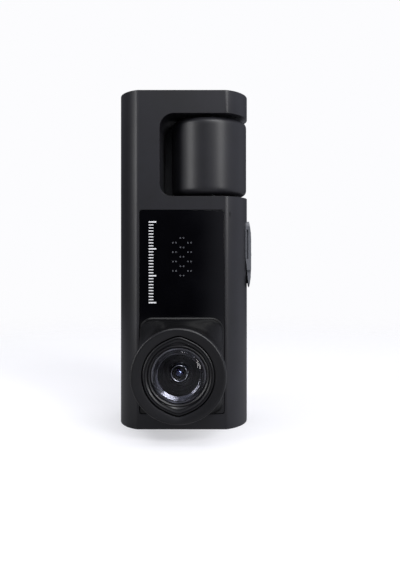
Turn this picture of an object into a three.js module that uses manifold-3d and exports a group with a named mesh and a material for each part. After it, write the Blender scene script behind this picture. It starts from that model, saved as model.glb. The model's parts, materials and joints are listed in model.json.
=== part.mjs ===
// Dash camera that stands on its end here: road lens at the bottom front, turning cabin camera at the top.
// Millimetres. +Z runs along the body, the road lens looks along -Y, and +X is the side that hangs
// from the windscreen mount. The origin is the middle of the flat bottom end.
import * as THREE from 'three';
import { mergeVertices } from 'three/addons/utils/BufferGeometryUtils.js';
import Module from 'manifold-3d';

const wasm = await Module();
wasm.setup();

// ---- Housing
const BODY_HEIGHT = 108;
const BODY_WIDTH = 42.4;
const BODY_DEPTH = 25.6;
const FACE_WIDTH = 28.4;        // flat part of the front and of the back
const SIDE_FULLNESS = 0.6;      // how far the oval of the round sides would reach past the flats
const EDGE_ROUND = 0.6;         // rounding round both ends
const WALL = 1.8;
const FRONT_WALL = 3.0;         // thicker, to take the fascia's pocket
const COVER_DEPTH = 4.5;        // how much of the depth belongs to the rear cover
const GAP = 0.3;                // clearance between pieces that are fitted into each other
const SLIP = 0.05;              // clearance between faces that lie on each other
const TURN_GAP = 0.12;          // radial clearance of the drum's bush and pin

// ---- Bay of the cabin camera
const BAY_BOTTOM = 74.2;
const BAY_HEIGHT = 26.5;
const BAY_LEFT = -7.15;
const BAY_ROUND_TOP = 4.6;
const BAY_ROUND_BOTTOM = 4.0;
const REAR_OPENING_LEFT = -3.0;
const DRUM_RADIUS = 12.5;
const DRUM_AXIS_X = 8.45;
const DRUM_GAP = 0.8;           // above and below the drum
const DRUM_ROUND = 2.0;
const DRUM_WALL = 1.8;
const BUSH_RADIUS = 3.2;
const BUSH_BORE = 2.0;
const PIN_RADIUS = 2.0;

// ---- Fascia and road lens
const WINDOW_WIDTH = 27.2;
const WINDOW_BOTTOM = 4.8;
const WINDOW_HEIGHT = 65.1;
const WINDOW_ROUND = 0.9;
const FASCIA_THICKNESS = 1.2;
const FASCIA_SETBACK = 0.25;
const LENS_Z = 20.3;
const POD_HEIGHT = 30.5;
const POD_ROUND = 3.9;
const POD_PROUD = 15.6;         // from the housing's face to the back of the lens ring
const RING_RADIUS = 14.05;
const RING_THICKNESS = 2.4;
const BEZEL_WIDTH = 21.5;       // pointed oval round the lens
const BEZEL_HEIGHT = 23.9;
const GLASS_RADIUS = 8.1;
const BARREL_WALL = 1.2;
const GRILLE_HOLE = 0.35;
const GRILLE_Z = 54.9;

// ---- Electronics
const BOARD_WIDTH = 30;
const BOARD_HEIGHT = 60;
const BOARD_THICKNESS = 1.0;
const BOARD_BOTTOM = 7;
const BOARD_Y = 2.0;
const SCREEN_WIDTH = 25;
const SCREEN_HEIGHT = 44;
const SCREEN_BOTTOM = 25;
const KEY_RADIUS = 2.1;
const KEY_PITCH = 5.6;
const KEY_Z = 15;
const KEY_TRAVEL = 0.4;
const USB_WIDTH = 9.0;
const USB_HEIGHT = 3.2;
const USB_Z = 31;
const USB_LENGTH = 7;
const USB_SETBACK = 1.2;        // from the housing's side to the socket's mouth
const CARD_WIDTH = 11;
const CARD_LENGTH = 15;
const CARD_THICKNESS = 0.7;
const CARD_Z = 50;
const CARD_SETBACK = 1.2;       // from the housing's side to the card's end
const CARD_GRIP = 1.8;          // how far the card stands out of its socket

// ---- Mount shoe and latch on the +X side
const SHOE_BOTTOM = 44.6;
const SHOE_LENGTH = 21.9;
const SHOE_WIDTH = 9.0;
const SHOE_PROUD = 1.25;
const SHOE_HEAD_RADIUS = 1.3;
const SHOE_SEAT = 0.9;          // how far the shoe is let into the housing
const LATCH_LENGTH = 8.4;
const LATCH_WIDTH = 4.4;
const LATCH_TRAVEL = 0.7;
const LATCH_FLANGE = 0.9;       // thickness of the flange behind the housing's wall
const LATCH_FLANGE_REACH = 1;   // how far the flange stands out on each side of the latch
const LATCH_PLAY = 0.18;        // from the wall to the flange's edges
const SPRING_ROOM = 2.8;        // from the back of the latch to the spring's rest
const SHOE_FLAT = 9;            // flat middle of the shoe's face
const SHOE_BOW = 0.7;           // how much the shoe's face falls away towards its ends

// ---- Values worked out from the sizes above
const FRONT_Y = -BODY_DEPTH / 2;
const BACK_Y = BODY_DEPTH / 2;
const PARTING_Y = BACK_Y - COVER_DEPTH;
const SIDE_X = BODY_WIDTH / 2;
const OVAL_DEPTH = BACK_Y + SIDE_FULLNESS;      // half axes of the oval that the round sides are cut from
const OVAL_WIDTH = (SIDE_X - FACE_WIDTH / 2) / (1 - Math.sqrt(1 - (BACK_Y / OVAL_DEPTH) ** 2));
const FLANGE_EDGE_Y = LATCH_WIDTH / 2 + LATCH_FLANGE_REACH;
const WALL_AT_FLANGE_X = SIDE_X - OVAL_WIDTH
  + (OVAL_WIDTH - WALL) * Math.sqrt(1 - (FLANGE_EDGE_Y / (OVAL_DEPTH - WALL)) ** 2);
const LATCH_BACK_X = WALL_AT_FLANGE_X - LATCH_PLAY - LATCH_FLANGE;
const SPRING_REST_X = LATCH_BACK_X - SPRING_ROOM;
const BAY_TOP = BAY_BOTTOM + BAY_HEIGHT;
const DRUM_BOTTOM = BAY_BOTTOM + DRUM_GAP;
const DRUM_TOP = BAY_TOP - DRUM_GAP;
const WINDOW_TOP = WINDOW_BOTTOM + WINDOW_HEIGHT;
const FASCIA_FRONT_Y = FRONT_Y + FASCIA_SETBACK;
const FASCIA_BACK_Y = FASCIA_FRONT_Y + FASCIA_THICKNESS;
const POD_BACK_Y = FASCIA_FRONT_Y - SLIP;
const RING_BACK_Y = FRONT_Y - POD_PROUD;
const RING_FRONT_Y = RING_BACK_Y - RING_THICKNESS;
const BARREL_RADIUS = GLASS_RADIUS + BARREL_WALL;
const FAR = 60;                 // reaches past the body in any direction

const camera = new THREE.Group();

// ---- Helpers
function toSolid(geometry) {
  const plain = geometry.clone();
  plain.deleteAttribute('normal');
  plain.deleteAttribute('uv');
  const merged = mergeVertices(plain, 1e-4);
  const vertProperties = new Float32Array(merged.attributes.position.array);
  const triVerts = new Uint32Array(merged.index.array);
  return new wasm.Manifold(new wasm.Mesh({ numProp: 3, vertProperties, triVerts }));
}

function toGeometry(solid) {
  const mesh = solid.getMesh();
  const geometry = new THREE.BufferGeometry();
  geometry.setAttribute('position', new THREE.BufferAttribute(mesh.vertProperties, 3));
  geometry.setIndex(new THREE.BufferAttribute(mesh.triVerts, 1));
  return geometry;
}

function cut(base, ...tools) {
  return tools.reduce((left, tool) => left.subtract(tool), base);
}

function join(...pieces) {
  return pieces.reduce((whole, piece) => whole.add(piece));
}

// A flat outline in X and Z, swept from yFront to yBack.
function plateXZ(shape, yFront, yBack, options = {}) {
  const depth = yBack - yFront;
  const geometry = new THREE.ExtrudeGeometry(
    shape, { depth, bevelEnabled: false, curveSegments: 6, ...options });
  geometry.rotateX(Math.PI / 2);
  geometry.translate(0, yBack, 0);
  return toSolid(geometry);
}

function block(x0, x1, y0, y1, z0, z1) {
  const geometry = new THREE.BoxGeometry(x1 - x0, y1 - y0, z1 - z0);
  geometry.translate((x0 + x1) / 2, (y0 + y1) / 2, (z0 + z1) / 2);
  return toSolid(geometry);
}

function rodX(radius, x0, x1, y, z, sides = 24) {
  const geometry = new THREE.CylinderGeometry(radius, radius, x1 - x0, sides);
  geometry.rotateZ(Math.PI / 2);
  geometry.translate((x0 + x1) / 2, y, z);
  return toSolid(geometry);
}

function rodY(radius, y0, y1, x, z, sides = 24) {
  const geometry = new THREE.CylinderGeometry(radius, radius, y1 - y0, sides);
  geometry.translate(x, (y0 + y1) / 2, z);
  return toSolid(geometry);
}

function rodZ(radius, z0, z1, x, y, sides = 24) {
  const geometry = new THREE.CylinderGeometry(radius, radius, z1 - z0, sides);
  geometry.rotateX(Math.PI / 2);
  geometry.translate(x, y, (z0 + z1) / 2);
  return toSolid(geometry);
}

// Turned piece about an axis along Y through (x, z). The profile lists [radius, y] from front to back.
function turnedY(profile, x, z, sides = 24) {
  const points = profile.map(([radius, y]) => new THREE.Vector2(radius, y));
  const geometry = new THREE.LatheGeometry(points, sides);
  geometry.translate(x, 0, z);
  return toSolid(geometry);
}

// Turned piece about an axis along Z through (x, 0). The profile lists [radius, z] from bottom to top.
function turnedZ(profile, x, sides = 24) {
  const points = profile.map(([radius, z]) => new THREE.Vector2(radius, z));
  const geometry = new THREE.LatheGeometry(points, sides);
  geometry.rotateX(Math.PI / 2);
  geometry.translate(x, 0, 0);
  return toSolid(geometry);
}

function roundedRectangle(x0, x1, z0, z1, radius) {
  const shape = new THREE.Shape();
  shape.moveTo(x0 + radius, z0);
  shape.lineTo(x1 - radius, z0);
  shape.absarc(x1 - radius, z0 + radius, radius, -Math.PI / 2, 0, false);
  shape.lineTo(x1, z1 - radius);
  shape.absarc(x1 - radius, z1 - radius, radius, 0, Math.PI / 2, false);
  shape.lineTo(x0 + radius, z1);
  shape.absarc(x0 + radius, z1 - radius, radius, Math.PI / 2, Math.PI, false);
  shape.lineTo(x0, z0 + radius);
  shape.absarc(x0 + radius, z0 + radius, radius, Math.PI, 1.5 * Math.PI, false);
  return shape;
}

function addPiece(name, solid, finish) {
  const mesh = new THREE.Mesh(toGeometry(solid), finish);
  mesh.name = name;
  camera.add(mesh);
  return mesh;
}

function finish(color, roughness, metalness = 0) {
  return new THREE.MeshStandardMaterial({ color, roughness, metalness });
}

const satinBlack = finish(0x2c2d30, 0.55);
const glossBlack = finish(0x07080b, 0.1);
const darkRing = finish(0x222326, 0.4);
const clearGlass = finish(0x101216, 0.05);
const boardGreen = finish(0x17442a, 0.6);
const chipBlack = finish(0x151515, 0.5);
const brightSteel = finish(0xa9abae, 0.3, 1);
const softRubber = finish(0x1b1b1b, 0.9);

// ---- Shapes that several pieces share
// Plan of the housing: flat front and back, and sides cut from an oval that meets the flats at a crease.
function bodyPlan(inset = 0) {
  const ovalWidth = OVAL_WIDTH - inset;
  const ovalDepth = OVAL_DEPTH - inset;
  const centre = SIDE_X - OVAL_WIDTH;
  const halfDepth = BACK_Y - inset;
  const angle = Math.asin(halfDepth / ovalDepth);
  const corner = centre + ovalWidth * Math.cos(angle);
  const shape = new THREE.Shape();
  shape.moveTo(-corner, -halfDepth);
  shape.lineTo(corner, -halfDepth);
  shape.absellipse(centre, 0, ovalWidth, ovalDepth, -angle, angle, false, 0);
  shape.lineTo(-corner, halfDepth);
  shape.absellipse(-centre, 0, ovalWidth, ovalDepth, Math.PI - angle, Math.PI + angle, false, 0);
  return shape;
}

function prism(shape, zBottom, zTop, round = 0, curveSegments = 10) {
  const geometry = new THREE.ExtrudeGeometry(shape, {
    depth: zTop - zBottom - 2 * round,
    bevelEnabled: round > 0,
    bevelThickness: round,
    bevelSize: round,
    bevelOffset: -round,
    bevelSegments: 1,
    curveSegments,
  });
  geometry.translate(0, 0, zBottom + round);
  return toSolid(geometry);
}

// Opening of the camera bay: round corners on the left, open past the housing's right side.
function bayOutline(left) {
  const shape = new THREE.Shape();
  shape.moveTo(FAR, BAY_BOTTOM);
  shape.lineTo(FAR, BAY_TOP);
  shape.lineTo(left + BAY_ROUND_TOP, BAY_TOP);
  shape.absarc(left + BAY_ROUND_TOP, BAY_TOP - BAY_ROUND_TOP, BAY_ROUND_TOP, Math.PI / 2, Math.PI, false);
  shape.lineTo(left, BAY_BOTTOM + BAY_ROUND_BOTTOM);
  shape.absarc(
    left + BAY_ROUND_BOTTOM, BAY_BOTTOM + BAY_ROUND_BOTTOM, BAY_ROUND_BOTTOM,
    Math.PI, 1.5 * Math.PI, false);
  shape.lineTo(FAR, BAY_BOTTOM);
  return shape;
}

// Pointed oval: a circle with tangents that meet in a point at the top and the bottom.
function pointedOval(width, height) {
  const radius = width / 2;
  const point = height / 2;
  const touch = Math.asin(radius / point);
  const shape = new THREE.Shape();
  shape.moveTo(0, LENS_Z - point);
  shape.absarc(0, LENS_Z, radius, -touch, touch, false);
  shape.lineTo(0, LENS_Z + point);
  shape.absarc(0, LENS_Z, radius, Math.PI - touch, Math.PI + touch, false);
  shape.lineTo(0, LENS_Z - point);
  return shape;
}

const body = prism(bodyPlan(), 0, BODY_HEIGHT, EDGE_ROUND);
const coverScrews = [
  { name: 'cover_screw_lower_left', x: -10.5, z: 4.4 },
  { name: 'cover_screw_lower_right', x: 10.5, z: 4.4 },
  { name: 'cover_screw_upper_left', x: -11.5, z: BAY_TOP + 3.3 },
  { name: 'cover_screw_upper_right', x: 13.2, z: BAY_TOP + 3.3 },
];
const SCREW_HEAD_RADIUS = 1.7;
const SCREW_SHANK_RADIUS = 0.8;
const SCREW_LENGTH = 9;
const boardScrews = [
  { name: 'board_screw_upper', x: -12.5, z: BOARD_BOTTOM + BOARD_HEIGHT - 2.5 },
  { name: 'board_screw_lower', x: 12.5, z: BOARD_BOTTOM + 2.5 },
];
const BOARD_SCREW_RADIUS = 0.6;
const usbY = BOARD_Y + BOARD_THICKNESS + 0.4 + USB_HEIGHT / 2;
const cardY = BOARD_Y - 1.5;

// ---- Housing
function frontShell() {
  const backOfShell = block(-FAR, FAR, PARTING_Y, FAR, -FAR, 2 * FAR + BODY_HEIGHT);
  const room = prism(bodyPlan(WALL), WALL, BAY_BOTTOM - WALL);
  const roomPart = cut(room, block(-FAR, FAR, -FAR, FRONT_Y + FRONT_WALL, -FAR, BODY_HEIGHT));
  const columnRoom = prism(bodyPlan(WALL), BAY_BOTTOM - WALL - 1, BAY_TOP)
    .subtract(block(BAY_LEFT - WALL, FAR, -FAR, FAR, -FAR, 2 * BODY_HEIGHT))
    .subtract(block(-FAR, FAR, -FAR, FRONT_Y + FRONT_WALL, -FAR, 2 * BODY_HEIGHT));
  const bay = plateXZ(bayOutline(BAY_LEFT), -FAR, FAR);
  const windowShape = roundedRectangle(
    -WINDOW_WIDTH / 2, WINDOW_WIDTH / 2, WINDOW_BOTTOM, WINDOW_TOP, WINDOW_ROUND);
  const fasciaPocket = plateXZ(windowShape, -FAR, FASCIA_BACK_Y + SLIP);
  const lensHole = rodY(BARREL_RADIUS + GAP, -FAR, 0, 0, LENS_Z, 32);
  const grilleHole = block(-5, 5, -FAR, 0, GRILLE_Z - 7, GRILLE_Z + 7);
  const bushHole = rodZ(BUSH_RADIUS + TURN_GAP, BAY_BOTTOM - 2 * WALL, BAY_BOTTOM + 1, DRUM_AXIS_X, 0);
  const pinHole = rodZ(PIN_RADIUS + SLIP, BAY_TOP - 1, BAY_TOP + 3.2, DRUM_AXIS_X, 0);
  const usbHole = roundedSlotX(0, FAR, usbY, USB_Z, USB_HEIGHT + 2 * GAP, USB_WIDTH + 2 * GAP);
  const cardHole = block(
    -FAR, 0, cardY - CARD_THICKNESS, cardY + CARD_THICKNESS,
    CARD_Z - CARD_WIDTH / 2 - GAP, CARD_Z + CARD_WIDTH / 2 + GAP);
  const shoeSeat = prismX(shoeOutline(GAP), SIDE_X - SHOE_SEAT, FAR);
  const latchHole = block(
    0, FAR, -LATCH_WIDTH / 2 - GAP, LATCH_WIDTH / 2 + GAP,
    latchBottom() - GAP, latchBottom() + LATCH_LENGTH + GAP);
  let shell = cut(body, backOfShell, roomPart, columnRoom, bay, fasciaPocket, lensHole, grilleHole);
  shell = cut(shell, bushHole, pinHole, usbHole, cardHole, shoeSeat, latchHole);
  for (const screw of coverScrews) {
    const bossRoom = rodY(2.4, FRONT_Y + FRONT_WALL - 0.5, PARTING_Y, screw.x, screw.z, 12);
    shell = shell.add(bossRoom.intersect(body));
    const screwHole = rodY(
      SCREW_SHANK_RADIUS + GAP, BACK_Y - SCREW_LENGTH - 1, FAR, screw.x, screw.z, 10);
    shell = cut(shell, screwHole);
  }
  for (const screw of shoeScrews()) {
    shell = cut(shell, rodX(screw.radius + GAP, SIDE_X - 6, FAR, 0, screw.z, 12));
  }
  for (const post of boardScrews) {
    const stand = rodY(1.8, FRONT_Y + FRONT_WALL - 0.5, BOARD_Y - SLIP, post.x, post.z, 12);
    shell = cut(shell.add(stand), rodY(BOARD_SCREW_RADIUS + GAP, BOARD_Y - 6, FAR, post.x, post.z, 10));
  }
  return shell.add(springRest());
}

// Rib inside the housing that the latch spring pushes against.
function springRest() {
  const rib = block(
    SPRING_REST_X - 1, SPRING_REST_X, FRONT_Y + FRONT_WALL - 1.2, BOARD_Y - GAP,
    latchBottom(), latchBottom() + LATCH_LENGTH);
  return rib.intersect(prism(bodyPlan(WALL / 2), WALL, BAY_BOTTOM - WALL));
}

// A slot with round ends that runs along X.
function roundedSlotX(x0, x1, y, z, depth, width) {
  const radius = depth / 2;
  const ends = width / 2 - radius;
  const middle = block(x0, x1, y - radius, y + radius, z - ends, z + ends);
  return join(middle, rodX(radius, x0, x1, y, z - ends, 16), rodX(radius, x0, x1, y, z + ends, 16));
}

// A flat outline in Y and Z, swept from x0 to x1.
function prismX(shape, x0, x1) {
  const geometry = new THREE.ExtrudeGeometry(
    shape, { depth: x1 - x0, bevelEnabled: false, curveSegments: 6 });
  geometry.rotateX(Math.PI / 2);
  geometry.rotateZ(Math.PI / 2);
  geometry.translate(x0, 0, 0);
  return toSolid(geometry);
}

function shoeOutline(grow = 0) {
  return roundedRectangle(
    -SHOE_WIDTH / 2 - grow, SHOE_WIDTH / 2 + grow,
    SHOE_BOTTOM - grow, SHOE_BOTTOM + SHOE_LENGTH + grow, 1.6 + grow);
}

function latchBottom() {
  return SHOE_BOTTOM + 10.0;
}

function shoeScrews() {
  return [
    { name: 'shoe_screw_lower', z: SHOE_BOTTOM + 2.4, radius: 0.7 },
    { name: 'shoe_screw_upper', z: SHOE_BOTTOM + SHOE_LENGTH - 2.0, radius: 0.7 },
  ];
}

function rearCover() {
  const frontOfCover = block(-FAR, FAR, -FAR, PARTING_Y + GAP, -FAR, 2 * FAR + BODY_HEIGHT);
  const bay = plateXZ(bayOutline(REAR_OPENING_LEFT), -FAR, FAR);
  const room = prism(bodyPlan(WALL), WALL, BAY_BOTTOM - WALL)
    .subtract(block(-FAR, FAR, BACK_Y - WALL, FAR, -FAR, 2 * BODY_HEIGHT));
  const columnRoom = prism(bodyPlan(WALL), BAY_BOTTOM - WALL - 1, BAY_TOP)
    .subtract(block(BAY_LEFT - WALL, FAR, -FAR, FAR, -FAR, 2 * BODY_HEIGHT))
    .subtract(block(-FAR, FAR, BACK_Y - WALL, FAR, -FAR, 2 * BODY_HEIGHT));
  const screenShape = roundedRectangle(
    -SCREEN_WIDTH / 2 - GAP, SCREEN_WIDTH / 2 + GAP,
    SCREEN_BOTTOM - GAP, SCREEN_BOTTOM + SCREEN_HEIGHT + GAP, 1.5);
  let cover = cut(body, frontOfCover, bay, room, columnRoom, plateXZ(screenShape, 0, FAR));
  for (const key of keys()) {
    cover = cut(cover, rodY(KEY_RADIUS + GAP / 2, 0, FAR, key.x, KEY_Z, 16));
  }
  for (const screw of coverScrews) {
    const boss = rodY(2.4, PARTING_Y + GAP, BACK_Y - WALL / 2, screw.x, screw.z, 12).intersect(body);
    const headRoom = rodY(SCREW_HEAD_RADIUS + GAP, BACK_Y - 1.5, FAR, screw.x, screw.z, 16);
    const shankRoom = rodY(SCREW_SHANK_RADIUS + GAP, 0, FAR, screw.x, screw.z, 12);
    cover = cut(cover.add(boss), headRoom, shankRoom);
  }
  for (let row = 0; row < 6; row += 1) {
    const z = BAY_BOTTOM + 4 + row * 3.4;
    cover = cut(cover, roundedSlotY(BAY_LEFT - WALL - 2.4, z, 1.2, 4.2));
  }
  return cover;
}

// A slot with round ends that runs through the rear cover along Y.
function roundedSlotY(x, z, height, width) {
  const shape = roundedRectangle(
    x - width / 2, x + width / 2, z - height / 2, z + height / 2, height / 2 - 0.01);
  return plateXZ(shape, 0, FAR, { curveSegments: 2 });
}

function keys() {
  const names = ['key_power', 'key_menu', 'key_up', 'key_down'];
  return names.map((name, index) => ({ name, x: (index - 1.5) * KEY_PITCH }));
}

addPiece('front_shell', frontShell(), satinBlack);
addPiece('rear_cover', rearCover(), satinBlack);
for (const screw of coverScrews) {
  const profile = [
    [0, BACK_Y - SCREW_LENGTH], [SCREW_SHANK_RADIUS, BACK_Y - SCREW_LENGTH + 0.5],
    [SCREW_SHANK_RADIUS, BACK_Y - 1.4], [SCREW_HEAD_RADIUS, BACK_Y - 1.4],
    [SCREW_HEAD_RADIUS, BACK_Y - 0.5], [SCREW_HEAD_RADIUS - 0.3, BACK_Y - 0.3], [0, BACK_Y - 0.3],
  ];
  addPiece(screw.name, turnedY(profile, screw.x, screw.z, 12), brightSteel);
}

// ---- Fascia and road lens
function fascia() {
  const shape = roundedRectangle(
    -WINDOW_WIDTH / 2 + GAP / 2, WINDOW_WIDTH / 2 - GAP / 2,
    WINDOW_BOTTOM + GAP / 2, WINDOW_TOP - GAP / 2, WINDOW_ROUND);
  let panel = plateXZ(shape, FASCIA_FRONT_Y, FASCIA_BACK_Y);
  panel = cut(panel, rodY(BARREL_RADIUS + GAP, -FAR, FAR, 0, LENS_Z, 32));
  for (const hole of grilleHoles()) {
    panel = cut(panel, rodY(GRILLE_HOLE, -FAR, FAR, hole.x, hole.z, 6));
  }
  return panel;
}

// Pairs of small holes: five pairs down the middle and four on each side, half a step lower.
function grilleHoles() {
  const holes = [];
  for (const column of [-1, 0, 1]) {
    const rows = column === 0 ? 5 : 4;
    for (let row = 0; row < rows; row += 1) {
      const z = GRILLE_Z + (row - (rows - 1) / 2) * 3.0;
      holes.push({ x: column * 2.4 - 0.5, z });
      holes.push({ x: column * 2.4 + 0.5, z });
    }
  }
  return holes;
}

function lensPod() {
  const half = (WINDOW_WIDTH - GAP) / 2 - 0.1;
  const bottom = WINDOW_BOTTOM + 0.3;
  const square = plateXZ(
    roundedRectangle(-half, half, bottom, bottom + POD_HEIGHT, POD_ROUND), RING_BACK_Y, POD_BACK_Y);
  const round = turnedY([
    [0, RING_BACK_Y], [RING_RADIUS - 0.35, RING_BACK_Y], [RING_RADIUS - 0.2, RING_BACK_Y + 4],
    [RING_RADIUS + 0.3, RING_BACK_Y + 8], [RING_RADIUS + 1.6, RING_BACK_Y + 11],
    [RING_RADIUS + 3.6, RING_BACK_Y + 13.2], [RING_RADIUS + 7, POD_BACK_Y], [0, POD_BACK_Y],
  ], 0, LENS_Z, 32);
  const bore = rodY(BARREL_RADIUS + GAP, -FAR, FAR, 0, LENS_Z, 32);
  return cut(square.intersect(round), bore);
}

function lensRing() {
  const outside = turnedY([
    [0, RING_FRONT_Y], [RING_RADIUS - 0.7, RING_FRONT_Y], [RING_RADIUS, RING_FRONT_Y + 0.7],
    [RING_RADIUS, RING_BACK_Y - SLIP], [0, RING_BACK_Y - SLIP],
  ], 0, LENS_Z, 40);
  return cut(outside, plateXZ(pointedOval(BEZEL_WIDTH, BEZEL_HEIGHT), -FAR, FAR, { curveSegments: 10 }));
}

function lensBezel() {
  const front = RING_FRONT_Y + 0.6;
  const outline = pointedOval(BEZEL_WIDTH - 2 * GAP, BEZEL_HEIGHT - 2 * GAP);
  const plate = plateXZ(outline, front, RING_BACK_Y - SLIP, { curveSegments: 10 });
  return cut(plate, rodY(GLASS_RADIUS + GAP, -FAR, FAR, 0, LENS_Z, 32));
}

addPiece('front_panel', fascia(), glossBlack);
addPiece('lens_pod', lensPod(), satinBlack);
addPiece('lens_ring', lensRing(), darkRing);
addPiece('lens_bezel', lensBezel(), darkRing);

const BARREL_FRONT_Y = RING_BACK_Y + GAP;
const BARREL_BACK_Y = FRONT_Y + FRONT_WALL + 1.5;
const LENS_SEAT_Y = RING_BACK_Y + 1.5;
addPiece('lens_barrel', turnedY([
  [GLASS_RADIUS - 1.2, BARREL_FRONT_Y], [BARREL_RADIUS, BARREL_FRONT_Y], [BARREL_RADIUS, BARREL_BACK_Y],
  [BARREL_RADIUS - BARREL_WALL, BARREL_BACK_Y], [BARREL_RADIUS - BARREL_WALL, LENS_SEAT_Y],
  [GLASS_RADIUS - 1.2, LENS_SEAT_Y], [GLASS_RADIUS - 1.2, BARREL_FRONT_Y],
], 0, LENS_Z), satinBlack);
// Domed outer element, which bulges almost to the ring's front.
addPiece('front_lens', turnedY([
  [0, RING_FRONT_Y + 0.15], [2.4, RING_FRONT_Y + 0.3], [4.6, RING_FRONT_Y + 0.7], [6.4, RING_FRONT_Y + 1.2],
  [7.6, RING_FRONT_Y + 1.75], [GLASS_RADIUS, RING_FRONT_Y + 2.1], [GLASS_RADIUS, RING_BACK_Y],
  [5.6, RING_BACK_Y], [3.6, RING_BACK_Y - 0.7], [0, RING_BACK_Y - 1.0],
], 0, LENS_Z), clearGlass);
addPiece('lens_cone', turnedY([
  [2.9, LENS_SEAT_Y + 3.2], [GLASS_RADIUS - 0.6, LENS_SEAT_Y + GAP],
  [BARREL_RADIUS - BARREL_WALL - SLIP, LENS_SEAT_Y + GAP],
  [BARREL_RADIUS - BARREL_WALL - SLIP, LENS_SEAT_Y + 5], [2.9, LENS_SEAT_Y + 5], [2.9, LENS_SEAT_Y + 3.2],
], 0, LENS_Z), satinBlack);
addPiece('inner_lens', turnedY([
  [0, LENS_SEAT_Y + 2.4], [1.3, LENS_SEAT_Y + 2.6], [2.7, LENS_SEAT_Y + 3.4],
  [2.7, LENS_SEAT_Y + 4.9], [0, LENS_SEAT_Y + 4.9],
], 0, LENS_Z, 24), clearGlass);
addPiece('lens_spacer', turnedY([
  [3.2, LENS_SEAT_Y + 5.1], [BARREL_RADIUS - BARREL_WALL - SLIP, LENS_SEAT_Y + 5.1],
  [BARREL_RADIUS - BARREL_WALL - SLIP, BARREL_BACK_Y - 1.6], [3.2, BARREL_BACK_Y - 1.6],
  [3.2, LENS_SEAT_Y + 5.1],
], 0, LENS_Z, 24), satinBlack);
addPiece('rear_lens', turnedY([
  [0, LENS_SEAT_Y + 5.6], [2.9, LENS_SEAT_Y + 6.1], [2.9, LENS_SEAT_Y + 8], [0, LENS_SEAT_Y + 8.4],
], 0, LENS_Z, 24), clearGlass);
addPiece('infrared_filter', block(
  -2.8, 2.8, BARREL_BACK_Y - 1.4, BARREL_BACK_Y - 0.9, LENS_Z - 2.8, LENS_Z + 2.8), clearGlass);
addPiece('road_image_sensor', block(
  -3.6, 3.6, BARREL_BACK_Y - 0.8, BARREL_BACK_Y + 0.4, LENS_Z - 2.6, LENS_Z + 2.6), chipBlack);
addPiece('road_sensor_board', block(
  -9, 9, BARREL_BACK_Y + 0.5, BARREL_BACK_Y + 1.5, LENS_Z - 9, LENS_Z + 9), boardGreen);

// ---- Cabin camera drum, which looks along +Y at rest
const CABIN_Z = (DRUM_BOTTOM + DRUM_TOP) / 2;
const CABIN_LENS_RADIUS = 6.4;
const BASE_THICKNESS = 1.6;
const DRUM_ROOM_RADIUS = DRUM_RADIUS - DRUM_WALL - 0.5;
function drumShell() {
  const outside = turnedZ([
    [0, DRUM_BOTTOM], [DRUM_RADIUS - DRUM_ROUND, DRUM_BOTTOM],
    [DRUM_RADIUS - DRUM_ROUND * 0.293, DRUM_BOTTOM + DRUM_ROUND * 0.293],
    [DRUM_RADIUS, DRUM_BOTTOM + DRUM_ROUND],
    [DRUM_RADIUS, DRUM_TOP - DRUM_ROUND], [DRUM_RADIUS - DRUM_ROUND * 0.293, DRUM_TOP - DRUM_ROUND * 0.293],
    [DRUM_RADIUS - DRUM_ROUND, DRUM_TOP], [0, DRUM_TOP],
  ], DRUM_AXIS_X, 40);
  const inside = rodZ(DRUM_ROOM_RADIUS, DRUM_BOTTOM - 1, DRUM_TOP - 2 * DRUM_WALL, DRUM_AXIS_X, 0, 32);
  const pinHole = rodZ(PIN_RADIUS + TURN_GAP, DRUM_TOP - 2.4, DRUM_TOP + 1, DRUM_AXIS_X, 0);
  const lensHole = rodY(CABIN_LENS_RADIUS + GAP, 0, FAR, DRUM_AXIS_X, CABIN_Z, 32);
  return cut(outside, inside, pinHole, lensHole);
}
addPiece('drum_shell', drumShell(), satinBlack);
addPiece('drum_base', turnedZ([
  [BUSH_RADIUS + SLIP, DRUM_BOTTOM], [DRUM_ROOM_RADIUS - GAP, DRUM_BOTTOM],
  [DRUM_ROOM_RADIUS - GAP, DRUM_BOTTOM + BASE_THICKNESS],
  [BUSH_RADIUS + SLIP, DRUM_BOTTOM + BASE_THICKNESS], [BUSH_RADIUS + SLIP, DRUM_BOTTOM],
], DRUM_AXIS_X), satinBlack);
// Hollow pivot: its flange lies on the base inside the drum, and its stem passes through the bay's floor.
const BUSH_BOTTOM = BAY_BOTTOM - WALL - 2.2;
addPiece('drum_bush', turnedZ([
  [BUSH_BORE, BUSH_BOTTOM], [BUSH_RADIUS, BUSH_BOTTOM], [BUSH_RADIUS, DRUM_BOTTOM + BASE_THICKNESS + SLIP],
  [BUSH_RADIUS + 1.4, DRUM_BOTTOM + BASE_THICKNESS + SLIP],
  [BUSH_RADIUS + 1.4, DRUM_BOTTOM + BASE_THICKNESS + 1],
  [BUSH_BORE, DRUM_BOTTOM + BASE_THICKNESS + 1], [BUSH_BORE, BUSH_BOTTOM],
], DRUM_AXIS_X, 24), brightSteel);
addPiece('retaining_ring', turnedZ([
  [BUSH_RADIUS + SLIP, BUSH_BOTTOM + 0.3], [BUSH_RADIUS + 1.5, BUSH_BOTTOM + 0.3],
  [BUSH_RADIUS + 1.5, BUSH_BOTTOM + 1.0], [BUSH_RADIUS + SLIP, BUSH_BOTTOM + 1.0],
  [BUSH_RADIUS + SLIP, BUSH_BOTTOM + 0.3],
], DRUM_AXIS_X, 24), brightSteel);
addPiece('friction_washer', turnedZ([
  [BUSH_RADIUS + GAP, BUSH_BOTTOM + 1.1], [BUSH_RADIUS + 2.2, BUSH_BOTTOM + 1.1],
  [BUSH_RADIUS + 2.2, BAY_BOTTOM - WALL - SLIP], [BUSH_RADIUS + GAP, BAY_BOTTOM - WALL - SLIP],
  [BUSH_RADIUS + GAP, BUSH_BOTTOM + 1.1],
], DRUM_AXIS_X, 24), brightSteel);
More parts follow.
